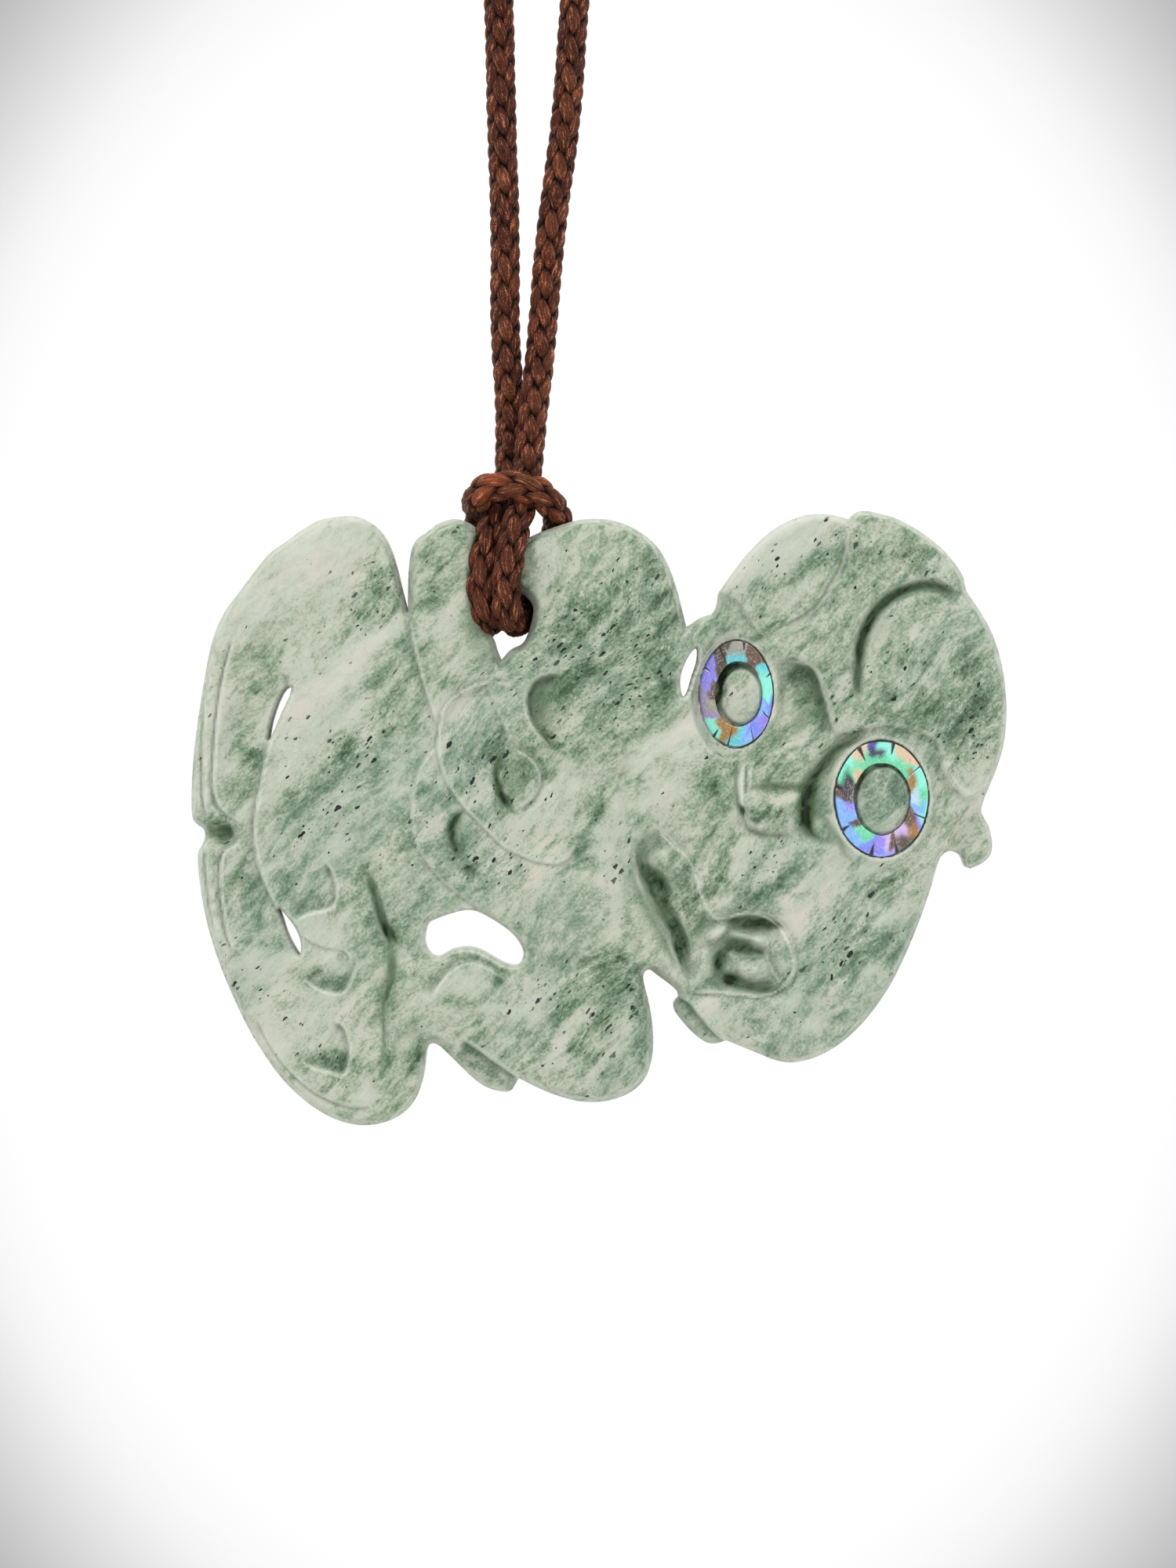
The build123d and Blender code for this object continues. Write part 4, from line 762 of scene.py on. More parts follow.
def addStep(relief, grid, step):
    line = smoothLine(fromPicture(step["line"]))
    x, z = grid
    spot = near(grid, line, max(step["upFade"], step["downFade"]) + 0.5)
    distance, side, along, _, length = toLine(x[spot], z[spot], line)
    signed = distance * side
    lift = step["up"] * np.clip(1 - signed / step["upFade"], 0, 1) ** 2
    sink = -step["down"] * np.clip(1 + signed / step["downFade"], 0, 1) ** 2
    change = sink + (lift - sink) * smoothStep(signed, -step["edge"] / 2, step["edge"] / 2)
    relief[spot] += change * fadeEnds(along, length, stoneSetup["stepEnds"])


def addGroove(relief, grid, groove):
    line = smoothLine(fromPicture(groove["line"]))
    x, z = grid
    spot = near(grid, line, groove["width"] * 3)
    distance, _, along, _, length = toLine(x[spot], z[spot], line)
    profile = np.exp(-(distance / groove["width"]) ** 2)
    relief[spot] -= groove["depth"] * profile * fadeEnds(along, length, groove["ends"])


# How far out each point of the grid is in a turned oval: 1 at its edge
def ovalShare(grid, at, size, turn=0):
    x, z = grid
    middle = fromPicture(at)[0]
    size = np.array(size) / reference["pixelsPerMm"]
    turn = math.radians(turn)
    u = (x - middle[0]) * math.cos(turn) + (z - middle[1]) * math.sin(turn)
    v = (z - middle[1]) * math.cos(turn) - (x - middle[0]) * math.sin(turn)
    return np.sqrt((u / size[0]) ** 2 + (v / size[1]) ** 2)


def addOval(relief, grid, form):
    share = ovalShare(grid, form["at"], form["size"], form["turn"])
    relief += form["rise"] * np.clip(1 - share ** 2, 0, 1) ** 1.5


# A quarter round: 0 at the edge and 1 from a given width in
def roll(distance, width):
    return np.sqrt(np.clip(1 - (1 - np.clip(distance / width, 0, 1)) ** 2, 0, 1))


def blur(field, passes):
    for _ in range(passes):
        padded = np.pad(field, 1, mode="edge")
        field = (padded[1:-1, :-2] + 2 * padded[1:-1, 1:-1] + padded[1:-1, 2:]) / 4
        padded = np.pad(field, 1, mode="edge")
        field = (padded[:-2, 1:-1] + 2 * padded[1:-1, 1:-1] + padded[2:, 1:-1]) / 4
    return field


# Soft seeded values over the grid, from -1 to 1
def softNoise(x, z, size, seed):
    lattice = np.random.default_rng(seed).random((256, 256)) * 2 - 1
    u, v = x / size + 100, z / size + 300
    i, j = np.floor(u).astype(int), np.floor(v).astype(int)
    a, b = smoothStep(u - i, 0, 1), smoothStep(v - j, 0, 1)
    i, j = i % 255, j % 255
    low = lattice[i, j] * (1 - a) + lattice[i + 1, j] * a
    high = lattice[i, j + 1] * (1 - a) + lattice[i + 1, j + 1] * a
    return low * (1 - b) + high * b


def paintPatches(grid, places, patches):
    field = np.zeros(grid[0].shape)
    for px, py, long, short, turn, value in patches:
        reach = long / reference["pixelsPerMm"] * 1.9 + toneSetup["patchReach"]
        spot = near(grid, fromPicture((px, py)), reach)
        share = ovalShare([part[spot] for part in places], (px, py), (long, short), turn)
        fall = (share * toneSetup["patchTight"]) ** toneSetup["patchFall"]
        field[spot] += value * np.exp(-fall)
    return field


def paintLines(grid, places, lines):
    field = np.zeros(grid[0].shape)
    for nodes in lines:
        nodes = smoothLine(nodes, steps=4)
        line = fromPicture(nodes[:, :2])
        spot = near(grid, line, toneSetup["lineReach"])
        distance, _, along, _, _ = toLine(*[part[spot] for part in places], line)
        reach = np.concatenate([[0], np.cumsum(np.linalg.norm(np.diff(line, axis=0), axis=1))])
        wide, value = (np.interp(along, reach / reach[-1], nodes[:, k]) for k in (2, 3))
        fall = np.exp(-(distance * reference["pixelsPerMm"] / wide) ** 2)
        field[spot] = np.maximum(field[spot], value * fall)
    return field


# The charts painted over the grid, on places that wander so that no patch is a plain oval:
# marbling, painted shade in the dark places, drifts of flecks and painted highlight lines
def paintCharts(grid):
    setup = toneSetup
    x, z = grid

    def wander(size, seed):
        return [softNoise(x, z, size, setup["seed"] + seed + k) for k in range(2)]

    broad, half = wander(setup["warpSize"], 0), wander(setup["warpSize"] / 2.2, 5)
    moved = [part + setup["warp"] * (shift + 0.5 * more)
             for part, shift, more in zip(grid, broad, half)]
    slight = [part + setup["followTone"] * (other - part) + setup["darkWarp"] * shift
              for part, other, shift in zip(grid, moved, wander(setup["darkWarpSize"], 20))]
    fine = [part + setup["lineWarp"] * shift
            for part, shift in zip(grid, wander(setup["lineWarpSize"], 30))]
    edges = []
    for mark in stoneSteps:
        edgeHighlight = highlightedEdges.get(mark["name"], 0)
        if edgeHighlight:
            run = [(px, py, setup["edgeHighlightWidth"], edgeHighlight) for px, py in mark["line"]]
            run[0], run[-1] = ((*tip[:2], *setup["edgeHighlightTip"]) for tip in (run[0], run[-1]))
            edges.append(run)
    dark = np.clip(paintPatches(grid, slight, shadePatches), -0.3, 1.0)
    return (np.tanh(paintPatches(grid, moved, tonePatches)),
            np.clip(dark + paintLines(grid, fine, shadeLines), 0, 1.15),
            np.clip(paintPatches(grid, moved, fleckDrifts), 0, 1),
            paintLines(grid, fine, highlightLines + edges))


def carveEyes(front, grid):
    for eye in eyes.values():
        # the seat is a plane that may turn to one side
        middle = fromPicture(eye["at"])[0]
        plane = eye["face"] + (grid[0] - middle[0]) * math.tan(math.radians(eye["turn"]))
        scale = (np.array(eye["size"]) / reference["pixelsPerMm"]).mean()
        outside = (ovalShare(grid, eye["at"], eye["size"]) - 1) * scale
        # the stone comes to the plane round the seat
        mix = 1 - smoothStep(outside, *eyeSetup["level"])
        front = front + (plane + eyeSetup["levelLift"] - front) * mix
        front = front - eyeSetup["seatDepth"] * smoothStep(-outside, *eyeSetup["seatEdge"])
        coreShare = ovalShare(grid, eye["core"][:2], eye["core"][2:])
        inner = (1 - coreShare) * scale * eyeSetup["pupilShare"]
        dome = eyeSetup["pupilDome"] * np.clip(1 - coreShare ** 2, 0, 1)
        dome = plane - eyeSetup["pupilDrop"] + dome
        front = front + (dome - front) * smoothStep(inner, *eyeSetup["pupilEdge"])
    return front


def carveStone(step):
    setup = stoneSetup
    grid = makeGrid(step)
    outline = np.vstack([smoothLine(fromPicture(run))[:-1] for run in outlineRuns])
    outline = np.vstack([outline, outline[:1]])
    outer = signedDistance(grid, outline, setup["farIn"])
    rim = roll(outer, setup["rimRoll"])
    solid = outer.copy()
    gapLit, gapBack = np.zeros_like(outer), np.ones_like(outer)
    for points in throughGaps.values():
        gap = -signedDistance(grid, closedLine(points), setup["gapNear"])
        solid = np.minimum(solid, gap)
        rim = np.minimum(rim, roll(gap, setup["gapRoll"]))
        gapBack = np.minimum(gapBack, roll(gap, setup["gapBackRoll"]))
        edge = smoothStep(setup["gapRoll"] - gap, 0, setup["gapLightReach"])
        gapLit = np.maximum(gapLit, setup["gapLight"] * edge)

    # masses, steps and grooves of the front
    relief = np.full(outer.shape, setup["ground"])
    for mass in stoneMasses:
        relief = addMass(relief, grid, mass)
    plain = blur(relief, int(setup["backBlur"] / step) ** 2 // 4)
    relief = blur(relief, 1)
    for form in broadForms:
        addOval(relief, grid, form)
    for mark in stoneSteps:
        addStep(relief, grid, mark)
    mouth = signedDistance(grid, closedLine(mouthSetup["outline"]), setup["nearIn"])
    relief -= mouthSetup["depth"] * smoothStep(mouth, -0.1, mouthSetup["edge"])
    for form in mouthLumps + mouthPits:
        addOval(relief, grid, form)
    for groove in stoneGrooves:
        addGroove(relief, grid, groove)
    relief += setup["crown"] * roll(outer, setup["crownReach"]) - setup["crownDrop"]
    relief = carveEyes(relief, grid)

    # what the material reads, before the cord's channel is cut
    # painted shade: the hollows, where the relief sits below its blurred self; painted highlight:
    # the raised edges
    hollow = np.clip(blur(relief, int(setup["hollowBlur"] / step) ** 2) - relief, -0.6, 0.9)
    edgeHighlight = np.clip(relief - blur(relief, setup["edgeHighlightBlur"]), 0, 0.2)
    tone, dark, drift, highlightLine = paintCharts(grid)
    # painted light: the outline, the pierced gaps' edges and the highlight lines are painted paler
    rimLit = smoothStep(setup["rimLightReach"] - solid, 0, setup["rimLightReach"])
    pale = np.maximum.reduce([setup["rimLight"] * rimLit, gapLit, highlightLine])
    addGroove(relief, grid, cordChannel)
    back = plain * setup["backShare"] + setup["crown"] * roll(outer, setup["backReach"]) \
        - setup["backDrop"]

    # the bar behind the cord
    x, z = grid
    left, right = (fromPicture(barSetup[key])[0] for key in ("left", "right"))
    bar = barSetup["halfHeight"] - np.abs(z - left[1])
    bar = np.where((x > left[0] - barSetup["ends"]) & (x < right[0] + barSetup["ends"]), bar, -9.0)
    spare = np.clip(1 - ((z - left[1]) / barSetup["halfHeight"]) ** 2, 0, 1)
    barHeight = barSetup["halfDepth"] * np.sqrt(spare)
    thinned = setup["gapBackLeft"] + (1 - setup["gapBackLeft"]) * gapBack
    front, rear = (np.where(bar > 0, np.maximum(side, barHeight), side)
                   for side in (relief * rim, back * rim * thinned))
    return grid, np.maximum(solid, bar), front, rear, (hollow, edgeHighlight, tone, pale, dark, drift)


# One sheet of faces over the stone, trimmed at the rim line, with the rim line's own edges
def stoneSheet(step):
    (x, z), solid, front, rear, looks = carveStone(step)
    start = stoneSetup["rimStart"]
    level = solid - start
    rows, cols = level.shape
    inside = level > 0
    firstCross = count = int(inside.sum())
    gz, gx = np.gradient(solid, step)
    index = np.full(level.shape, -1)
    index[inside] = np.arange(count)
    places = [np.stack([x[inside], z[inside]], 1)]
    heights = [np.stack([field[inside] for field in (front, rear) + looks], 1)]

    # crossings of the rim line on the grid's edges, one number each
    rightCross, upCross = np.full(level.shape, -1), np.full(level.shape, -1)
    slopes = []
    for cross, (dr, dc) in ((rightCross, (0, 1)), (upCross, (1, 0))):
        a = level[:rows - dr, :cols - dc]
        b = level[dr:, dc:]
        hit = (a > 0) != (b > 0)
        share = a[hit] / (a[hit] - b[hit])
        r, c = np.nonzero(hit)

        def between(field):
            return field[r, c] + (field[r + dr, c + dc] - field[r, c]) * share

        cross[r, c] = count + np.arange(len(r))
        count += len(r)
        places.append(np.stack([between(x), between(z)], 1))
        heights.append(np.stack([between(field) for field in (front, rear) + looks], 1))
        slope = np.stack([between(gx), between(gz)], 1)
        slopes.append(slope / np.maximum(np.linalg.norm(slope, axis=1, keepdims=True), 1e-6))

    # faces anticlockwise in x and z: whole squares, then those that the rim line cuts
    quarters = (inside[:-1, :-1], inside[:-1, 1:], inside[1:, 1:], inside[1:, :-1])
    full, some = np.logical_and.reduce(quarters), np.logical_or.reduce(quarters)
    r, c = np.nonzero(full)
    faces = np.stack([index[r, c], index[r, c + 1], index[r + 1, c + 1], index[r + 1, c]],
                     1).tolist()
    rimEdges = []
    for r, c in zip(*np.nonzero(some & ~full)):
        corners = [(r, c), (r, c + 1), (r + 1, c + 1), (r + 1, c)]
        crossings = [rightCross[r, c], upCross[r, c + 1], rightCross[r + 1, c], upCross[r, c]]
        loop = []
        for spot, crossing in zip(corners, crossings):
            if inside[spot]:
                loop.append(index[spot])
            if crossing >= 0:
                loop.append(crossing)
        apart = sum(k >= firstCross for k in loop) == 4
        if apart and len(loop) == 6 and solid[r:r + 2, c:c + 2].mean() < start:
            # two corners that only touch: each gets its own triangle
            shift = 0 if loop[0] < firstCross else 1
            loops = [[loop[-1 + shift], loop[shift], loop[1 + shift]],
                     [loop[2 + shift], loop[3 + shift], loop[(4 + shift) % 6]]]
        else:
            loops = [loop]
        for piece in loops:
            faces.append(piece)
            rimEdges += [(a, b) for a, b in zip(piece, piece[1:] + piece[:1])
                         if a >= firstCross and b >= firstCross]
    return np.vstack(places), np.vstack(heights), np.vstack(slopes), firstCross, faces, rimEdges


# The sheet at its front and rear heights, closed by rings that roll over the rim
def buildStone():
    step = stoneSetup["gridStep"]
    places, heights, slopes, firstCross, faces, rimEdges = stoneSheet(step)
    total = len(places)
    start, rings = stoneSetup["rimStart"], stoneSetup["rimRings"]
    crossPlaces, crossHeights = places[firstCross:], heights[firstCross:]
    parts = [np.stack([places[:, 0], side, places[:, 1]], 1)
             for side in (-heights[:, 0], heights[:, 1])]
    # the back takes only the marbling, the painted light of the pale edges and lines, and half the
    # flecks
    plain = heights[:, 2:] * (0, 0, 0.5, 1, 0, 0.5)
    masks = [heights[:, 2:], plain]

    # rings from the front's rim to the outline and on to the back's rim
    shares = [(rings - k) / rings for k in range(1, rings)]
    ringStarts = []
    offset = 2 * total
    for share, face in [(s, -1) for s in shares] + [(0.0, 0)] + [(s, 1) for s in shares[::-1]]:
        out = crossPlaces - slopes * (start * (1 - share ** 6))
        depth = crossHeights[:, 0 if face < 0 else 1] * share ** 0.35 * face
        parts.append(np.stack([out[:, 0], depth, out[:, 1]], 1))
        masks.append(plain[firstCross:])
        ringStarts.append(offset)
        offset += len(out)
    rear = [[total + k for k in reversed(face)] for face in faces]
    levels = [firstCross] + ringStarts + [total + firstCross]
    rim = [[low + b - firstCross, low + a - firstCross, high + a - firstCross,
            high + b - firstCross]
           for a, b in rimEdges for low, high in zip(levels, levels[1:])]
    mesh = bpy.data.meshes.new("greenstoneTiki")
    mesh.from_pydata((np.vstack(parts) * mm).tolist(), [], faces + rear + rim)
    looks = np.vstack(masks)
    for k, label in enumerate(("hollow", "edgeHighlight", "tone", "pale", "dark", "drift")):
        addAttribute(mesh, label, looks[:, k])
    mesh.update()
    stone = addObject("greenstoneTiki", mesh)
    mesh.shade_smooth()
    triangles = sum(len(face.vertices) - 2 for face in mesh.polygons)
    stone.vertex_groups.new(name="plainBack").add(list(range(total, 2 * total)), 1.0, "REPLACE")
    thin = stone.modifiers.new("thinBack", "DECIMATE")
    thin.ratio = min(1.0, stoneSetup["triangles"] / triangles)
    thin.vertex_group = "plainBack"
    thin.vertex_group_factor = 10
    return stone


stone = buildStone()
print("stone carved", len(stone.data.vertices), "points", len(stone.data.polygons), "faces")

# ---- the cord
# One braided cord: down the left hitch leg, up round the neck, and back down the right leg.
# The routes are the CAD's, in millimetres, with the points by the hitch moved to lie as pictured.
leftHitchRoute = [(-5.75, 0.9, -267.3), (-5.95, 0.2, -269.4), (-7.3, -3.0, -272.4),
                  (-8.05, -3.3, -276.2), (-7.5, -3.2, -279.3), (-7.2, 3.6, -279.3),
                  (-7.9, 5.7, -274.2), (-8.3, 3.2, -269.9), (-8.3, -2.7, -269.6),
                  (-7.2, -4.1, -268.4), (-5.5, -4.0, -268.55)]
rightHitchRoute = [(-4.25, -1.0, -267.3), (-4.5, -1.8, -269.5), (-5.3, -4.6, -272.4),
                   (-5.95, -4.9, -276.2), (-5.8, -4.2, -279.3), (-4.6, 3.4, -279.3),
                   (-4.3, 5.9, -274.6), (-2.0, 4.4, -272.4), (-1.65, -1.3, -270.9),
                   (-3.4, -3.9, -268.7), (-5.5, -4.0, -268.55)]
loopRoute = [(-5.75, 0.9, -267.3), (-5.55, 1.6, -263.3), (-6.1, 0.2, -256), (-6, 0, -248.5),
             (-6.35, 0, -239), (-6.5, 0, -229.7), (-7.5, 0, -213), (-9.8, 0, -184),
             (-13.9, 0, -138), (-18.4, 0, -92), (-21.6, 0, -56), (-22.6, 0, -34),
             (-22.2, 0, -20.3), (-18.2, 0, -7), (-7, 0, 1.2), (7, 0, 1.2), (18.2, 0, -7),
             (22.2, 0, -20.3), (22, 0, -34), (19.4, 0, -58), (14.5, 0, -98), (9.3, 0, -142),
             (4.6, 0, -184), (1.3, 0, -213), (-0.55, 0, -229.7), (-1.1, 0, -239),
             (-2.5, 0, -248.5), (-3.2, 0, -257.8), (-3.95, -0.15, -263.6), (-4.25, -1.0, -267.3)]
joinRun = (19, 20)
cordSetup = dict(
    radius=1.28,          # mm, over the lumps
    coreRadius=0.70,
    coreAround=10,
    pitch=2.36,           # mm from one lump to the next in a column
    columns=6,
    lumpLength=1.22,      # share of the pitch
    lumpHalfWidth=0.625,
    lumpHalfThick=0.54,
    lumpEnds=(1.8, 0.75),  # how full a lump stays towards its pointed ends
    lumpDive=0.16,        # mm that the ends dive under its neighbours
    lumpSpread=1.15,      # how far it bends round the cord, less is further
    lean=0.30,            # sideways lean of a lump, radians along its length
    leanChance=0.10,
    looseness=0.05,       # how much the lumps' sizes differ, and how much of it in thickness
    thickLooseness=0.9,
    fibreAround=0.25,     # places of the fibres: round a lump, and from one lump to another
    fibreSpread=50,
    ownTint=0.6,          # share of a lump's tint that is its own, and that the painted light on the bight adds
    bightTint=0.4,
    bightLength=6.0,      # mm each way from the middle of the hitch
    evenStep=0.12,        # mm between the spots of the cord's line
    seed=4,
    # lumps' rows and points around, and mm between rows of the core
    fine=(13, 14, 0.6), coarse=(6, 8, 1.4), quickFine=(7, 8, 1.0), quickCoarse=(5, 6, 2.0),
    seen=45.0,            # mm above the hitch that are made fine
)


def readRoute(name, points):
    curve = bpy.data.curves.new(name, "CURVE")
    curve.dimensions = "3D"
    curve.resolution_u = 16
    spline = curve.splines.new("NURBS")
    spline.points.add(len(points) - 1)
    for point, place in zip(spline.points, points):
        point.co = (*place, 1)
    spline.order_u = 3
    spline.use_endpoint_u = True
    route = bpy.data.objects.new(name, curve)
    mesh = bpy.data.meshes.new_from_object(route)
    read = np.array([vertex.co[:] for vertex in mesh.vertices])
    bpy.data.objects.remove(route)
    bpy.data.curves.remove(curve)
    bpy.data.meshes.remove(mesh)
    return read


# How far along a line each of its points is
def measureLine(points):
    return np.concatenate([[0], np.cumsum(np.linalg.norm(np.diff(points, axis=0), axis=1))])


# Even steps along the cord, with a frame that doesn't twist
def cordPath():
    left = readRoute("leftHitchRoute", leftHitchRoute)
    loop = readRoute("loopRoute", loopRoute)
    right = readRoute("rightHitchRoute", rightHitchRoute)
    points = np.vstack([left[::-1], loop[1:], right[1:]])
    points = points[np.concatenate([[True], np.diff(measureLine(points)) > 1e-6])]
    along = measureLine(points)
    leftEnd = measureLine(left)[-1]
    rightStart = leftEnd + measureLine(loop)[-1]
    total = along[-1]
    even = np.linspace(0, total, int(total / cordSetup["evenStep"]))
    centre = np.stack([np.interp(even, along, points[:, k]) for k in range(3)], 1)
    for _ in range(6):
        centre[1:-1] = (centre[:-2] + 2 * centre[1:-1] + centre[2:]) / 4
    tangent = np.gradient(centre, axis=0)
    tangent /= np.linalg.norm(tangent, axis=1, keepdims=True)
    side = np.zeros_like(centre)
    middle = int(np.searchsorted(even, (leftEnd + rightStart) / 2))
    side[middle] = (0, -1, 0)
    for steps in (range(middle + 1, len(even)), range(middle - 1, -1, -1)):
        last = side[middle]
        for i in steps:
            last = last - tangent[i] * (last @ tangent[i])
            last = last / np.linalg.norm(last)
            side[i] = last
    other = np.cross(tangent, side)
    # the two ends meet in the middle of the hitch: the hitch takes up the difference
    turn = math.atan2(side[-1] @ other[0], side[-1] @ side[0])
    twist = np.interp(even, [0, leftEnd, rightStart, total], [turn / 2, 0, 0, -turn / 2])
    cos, sin = np.cos(twist)[:, None], np.sin(twist)[:, None]
    side, other = side * cos + other * sin, other * cos - side * sin
    return dict(even=even, centre=centre, side=side, other=other, leftEnd=leftEnd,
                rightStart=rightStart, total=total)


# Points round the cord; along, angle and radius spread over one another's rows and columns
def onCord(path, along, angle, radius):
    along, angle, radius = np.broadcast_arrays(along, angle, radius)
    along = np.mod(along, path["total"])
    centre, side, other = (
        np.stack([np.interp(along, path["even"], path[key][:, k]) for k in range(3)], -1)
        for key in ("centre", "side", "other"))
    out = side * np.cos(angle)[..., None] + other * np.sin(angle)[..., None]
    return (centre + out * radius[..., None]).reshape(-1, 3)


# Even angles once round
def turnsOf(count):
    return np.arange(count) * 2 * math.pi / count


# A mesh in millimetres, with what its material reads at each point
def quadMesh(name, points, faces, **looks):
    mesh = bpy.data.meshes.new(name)
    mesh.from_pydata((points * mm).tolist(), [], faces.tolist())
    for label, values in looks.items():
        addAttribute(mesh, label, values)
    mesh.shade_smooth()
    mesh.update()
    return addObject(name, mesh)


# Faces of a rows x columns sheet of points, wrapped round across the columns
def sheetFaces(rows, cols):
    r, c = np.mgrid[0:rows - 1, 0:cols]
    after = (c + 1) % cols
    return np.stack([r * cols + c, r * cols + after, (r + 1) * cols + after,
                     (r + 1) * cols + c], -1).reshape(-1, 4)


# The braid's lumps between two places: points, faces, how far out, tint and fibre places
def braid(path, low, high, rows, around):
    setup = cordSetup
    rng = np.random.default_rng(setup["seed"])
    count = round(path["total"] / setup["pitch"])
    pitch = path["total"] / count
    column, place = np.meshgrid(np.arange(setup["columns"]), np.arange(count))
    odd = column.ravel() % 2
    middle = ((place + 0.5 * (column % 2)) * pitch).ravel()
    angle = (column * 2 * math.pi / setup["columns"]).ravel()
    chance = rng.random((len(middle), 6))
    keep = (middle >= low) & (middle < high)
    middle, angle, chance, odd = (part[keep] for part in (middle, angle, chance, odd))

    def each(values):
        return values[:, None, None]

    u = np.linspace(-1, 1, rows)[None, :, None]
    phi = turnsOf(around)[None, None, :]
    taper, fullness = setup["lumpEnds"]
    body = np.clip(1 - np.abs(u) ** taper, 0, 1) ** fullness
    swing = chance * 2 - 1
    loose = 1 + setup["looseness"] * swing
    half = pitch * setup["lumpLength"] / 2 * each(loose[:, 0])
    lean = each(setup["lean"] * np.where(odd, 1, -1) + setup["leanChance"] * swing[:, 1])
    wide = setup["lumpHalfWidth"] * each(loose[:, 2])
    thick = setup["lumpHalfThick"] * (1 + setup["thickLooseness"] * (each(loose[:, 3]) - 1))
    middleRadius = setup["radius"] - setup["lumpHalfThick"] - 0.01
    radius = middleRadius - setup["lumpDive"] * np.abs(u) ** 3 + thick * body * np.cos(phi)
    across = wide * body * np.sin(phi)
    turn = each(angle) + across / middleRadius / setup["lumpSpread"] + lean * u
    along = each(middle) + half * u + 0 * phi
    strand = np.stack(np.broadcast_arrays(
        along, across + phi * setup["fibreAround"],
        each(chance[:, 4]) * setup["fibreSpread"]), -1)
    # painted light: the bight of the hitch, which stands out towards the lamps, is tinted the
    # brightest
    fromBight = np.minimum(middle, path["total"] - middle)
    bight = smoothStep(setup["bightLength"] - fromBight, 0, 2)
    shade = each(setup["ownTint"] * chance[:, 5] + setup["bightTint"] * bight) + 0 * along
    lumps = np.arange(len(middle)) * rows * around
    faces = (sheetFaces(rows, around)[None] + each(lumps)).reshape(-1, 4)
    return (onCord(path, along, turn, radius), faces, (body * np.cos(phi) + 0 * along).ravel(),
            shade.ravel(), strand.reshape(-1, 3))


# The core between the lumps, painted dark as shade, described the same way
def coreTube(path, low, high, step):
    around = cordSetup["coreAround"]
    along = np.linspace(low, high, int((high - low) / step))
    points = onCord(path, along[:, None], turnsOf(around)[None, :], cordSetup["coreRadius"])
    return (points, sheetFaces(len(along), around), np.full(len(points), -1.0),
            np.full(len(points), 0.3), np.zeros((len(points), 3)))


def cordPiece(path, name, runs):
    parts = []
    for low, high, rows, around, coreStep in runs:
        parts.append(braid(path, low, high, rows, around))
        parts.append(coreTube(path, low, high, coreStep))
    starts = np.cumsum([0] + [len(part[0]) for part in parts])
    faces = np.vstack([part[1] + start for part, start in zip(parts, starts)])
    points, rise, shade, strand = (np.concatenate([part[k] for part in parts])
                                   for k in (0, 2, 3, 4))
    return quadMesh(name, points, faces, rise=rise, shade=shade, strand=strand)


cord = cordPath()
fine, coarse = (cordSetup[key] for key in (
    (("fine", "coarse"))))
fineEnds = (cord["leftEnd"] + cordSetup["seen"], cord["rightStart"] - cordSetup["seen"])
neckLoop = cordPiece(cord, "braidedNeckCord", [
    (cord["leftEnd"], fineEnds[0], *fine), (*fineEnds, *coarse),
    (fineEnds[1], cord["rightStart"], *fine)])
hitch = cordPiece(cord, "braidedHitch", [
    (0, cord["leftEnd"], *fine), (cord["rightStart"], cord["total"], *fine)])
print("cord braided", len(neckLoop.data.polygons), len(hitch.data.polygons), "faces")

# ---- the whipping over the join of the cord's ends, behind the neck
whippingSetup = dict(
    length=12.0, outerRadius=2.26, thread=0.42, around=28, threadSides=7,
    threadFill=0.52,      # half the thread's own thickness, as a share of its spacing
    endDrop=0.9,          # mm that its two ends go under, over this many turns
    endTurns=1.6,
    liningInner=1.27, liningOuter=1.9, liningSides=24, liningShort=0.2,
    fibresAlong=2.2, fibresAround=0.2)


def buildWhipping(path):
    setup = whippingSetup
    spacing, sides = setup["thread"], setup["threadSides"]
    middle = np.mean([loopRoute[k] for k in joinRun], axis=0)
    # nearest spot of the cord to the middle of the join
    at = path["even"][np.argmin(np.linalg.norm(path["centre"] - middle, axis=1))]
    turns = setup["length"] / spacing - 1
    steps = int(turns * setup["around"])
    angle = np.linspace(0, turns * 2 * math.pi, steps)[:, None]
    along = at - setup["length"] / 2 + spacing / 2 + angle / (2 * math.pi) * spacing
    ends = np.minimum(angle, angle[-1] - angle) / (2 * math.pi)
    radius = setup["outerRadius"] - spacing / 2 \
        - setup["endDrop"] * np.clip(1 - ends / setup["endTurns"], 0, 1) ** 2
    phi = turnsOf(sides)[None, :]
    spread = spacing * setup["threadFill"]
    points = onCord(path, along + spread * np.sin(phi), angle, radius + spread * np.cos(phi))
    # the lining under the thread, round the cord
    ring = np.array([-1, -1, 1, 1, -1])[:, None] * (setup["length"] / 2 - setup["liningShort"])
    inner, outer = setup["liningInner"], setup["liningOuter"]
    wall = np.array([inner, outer, outer, inner, inner])[:, None]
    lining = onCord(path, at + ring, turnsOf(setup["liningSides"])[None, :], wall)
    faces = np.vstack([sheetFaces(steps, sides),
                       sheetFaces(len(ring), setup["liningSides"]) + len(points)])
    # how far out each point is, which the material turns into painted shade between the turns; the
    # lining is half in it
    rise = np.concatenate([np.broadcast_to(np.cos(phi), (steps, sides)).ravel(),
                           np.full(len(lining), -0.5)])
    strand = np.stack(np.broadcast_arrays(
        angle * setup["fibresAlong"], phi * setup["fibresAround"], 0.0), -1).reshape(-1, 3)
    return quadMesh("whippedJoin", np.vstack([points, lining]), faces, rise=rise,
                    shade=np.full(len(rise), 0.3),
                    strand=np.vstack([strand, np.zeros((len(lining), 3))]))


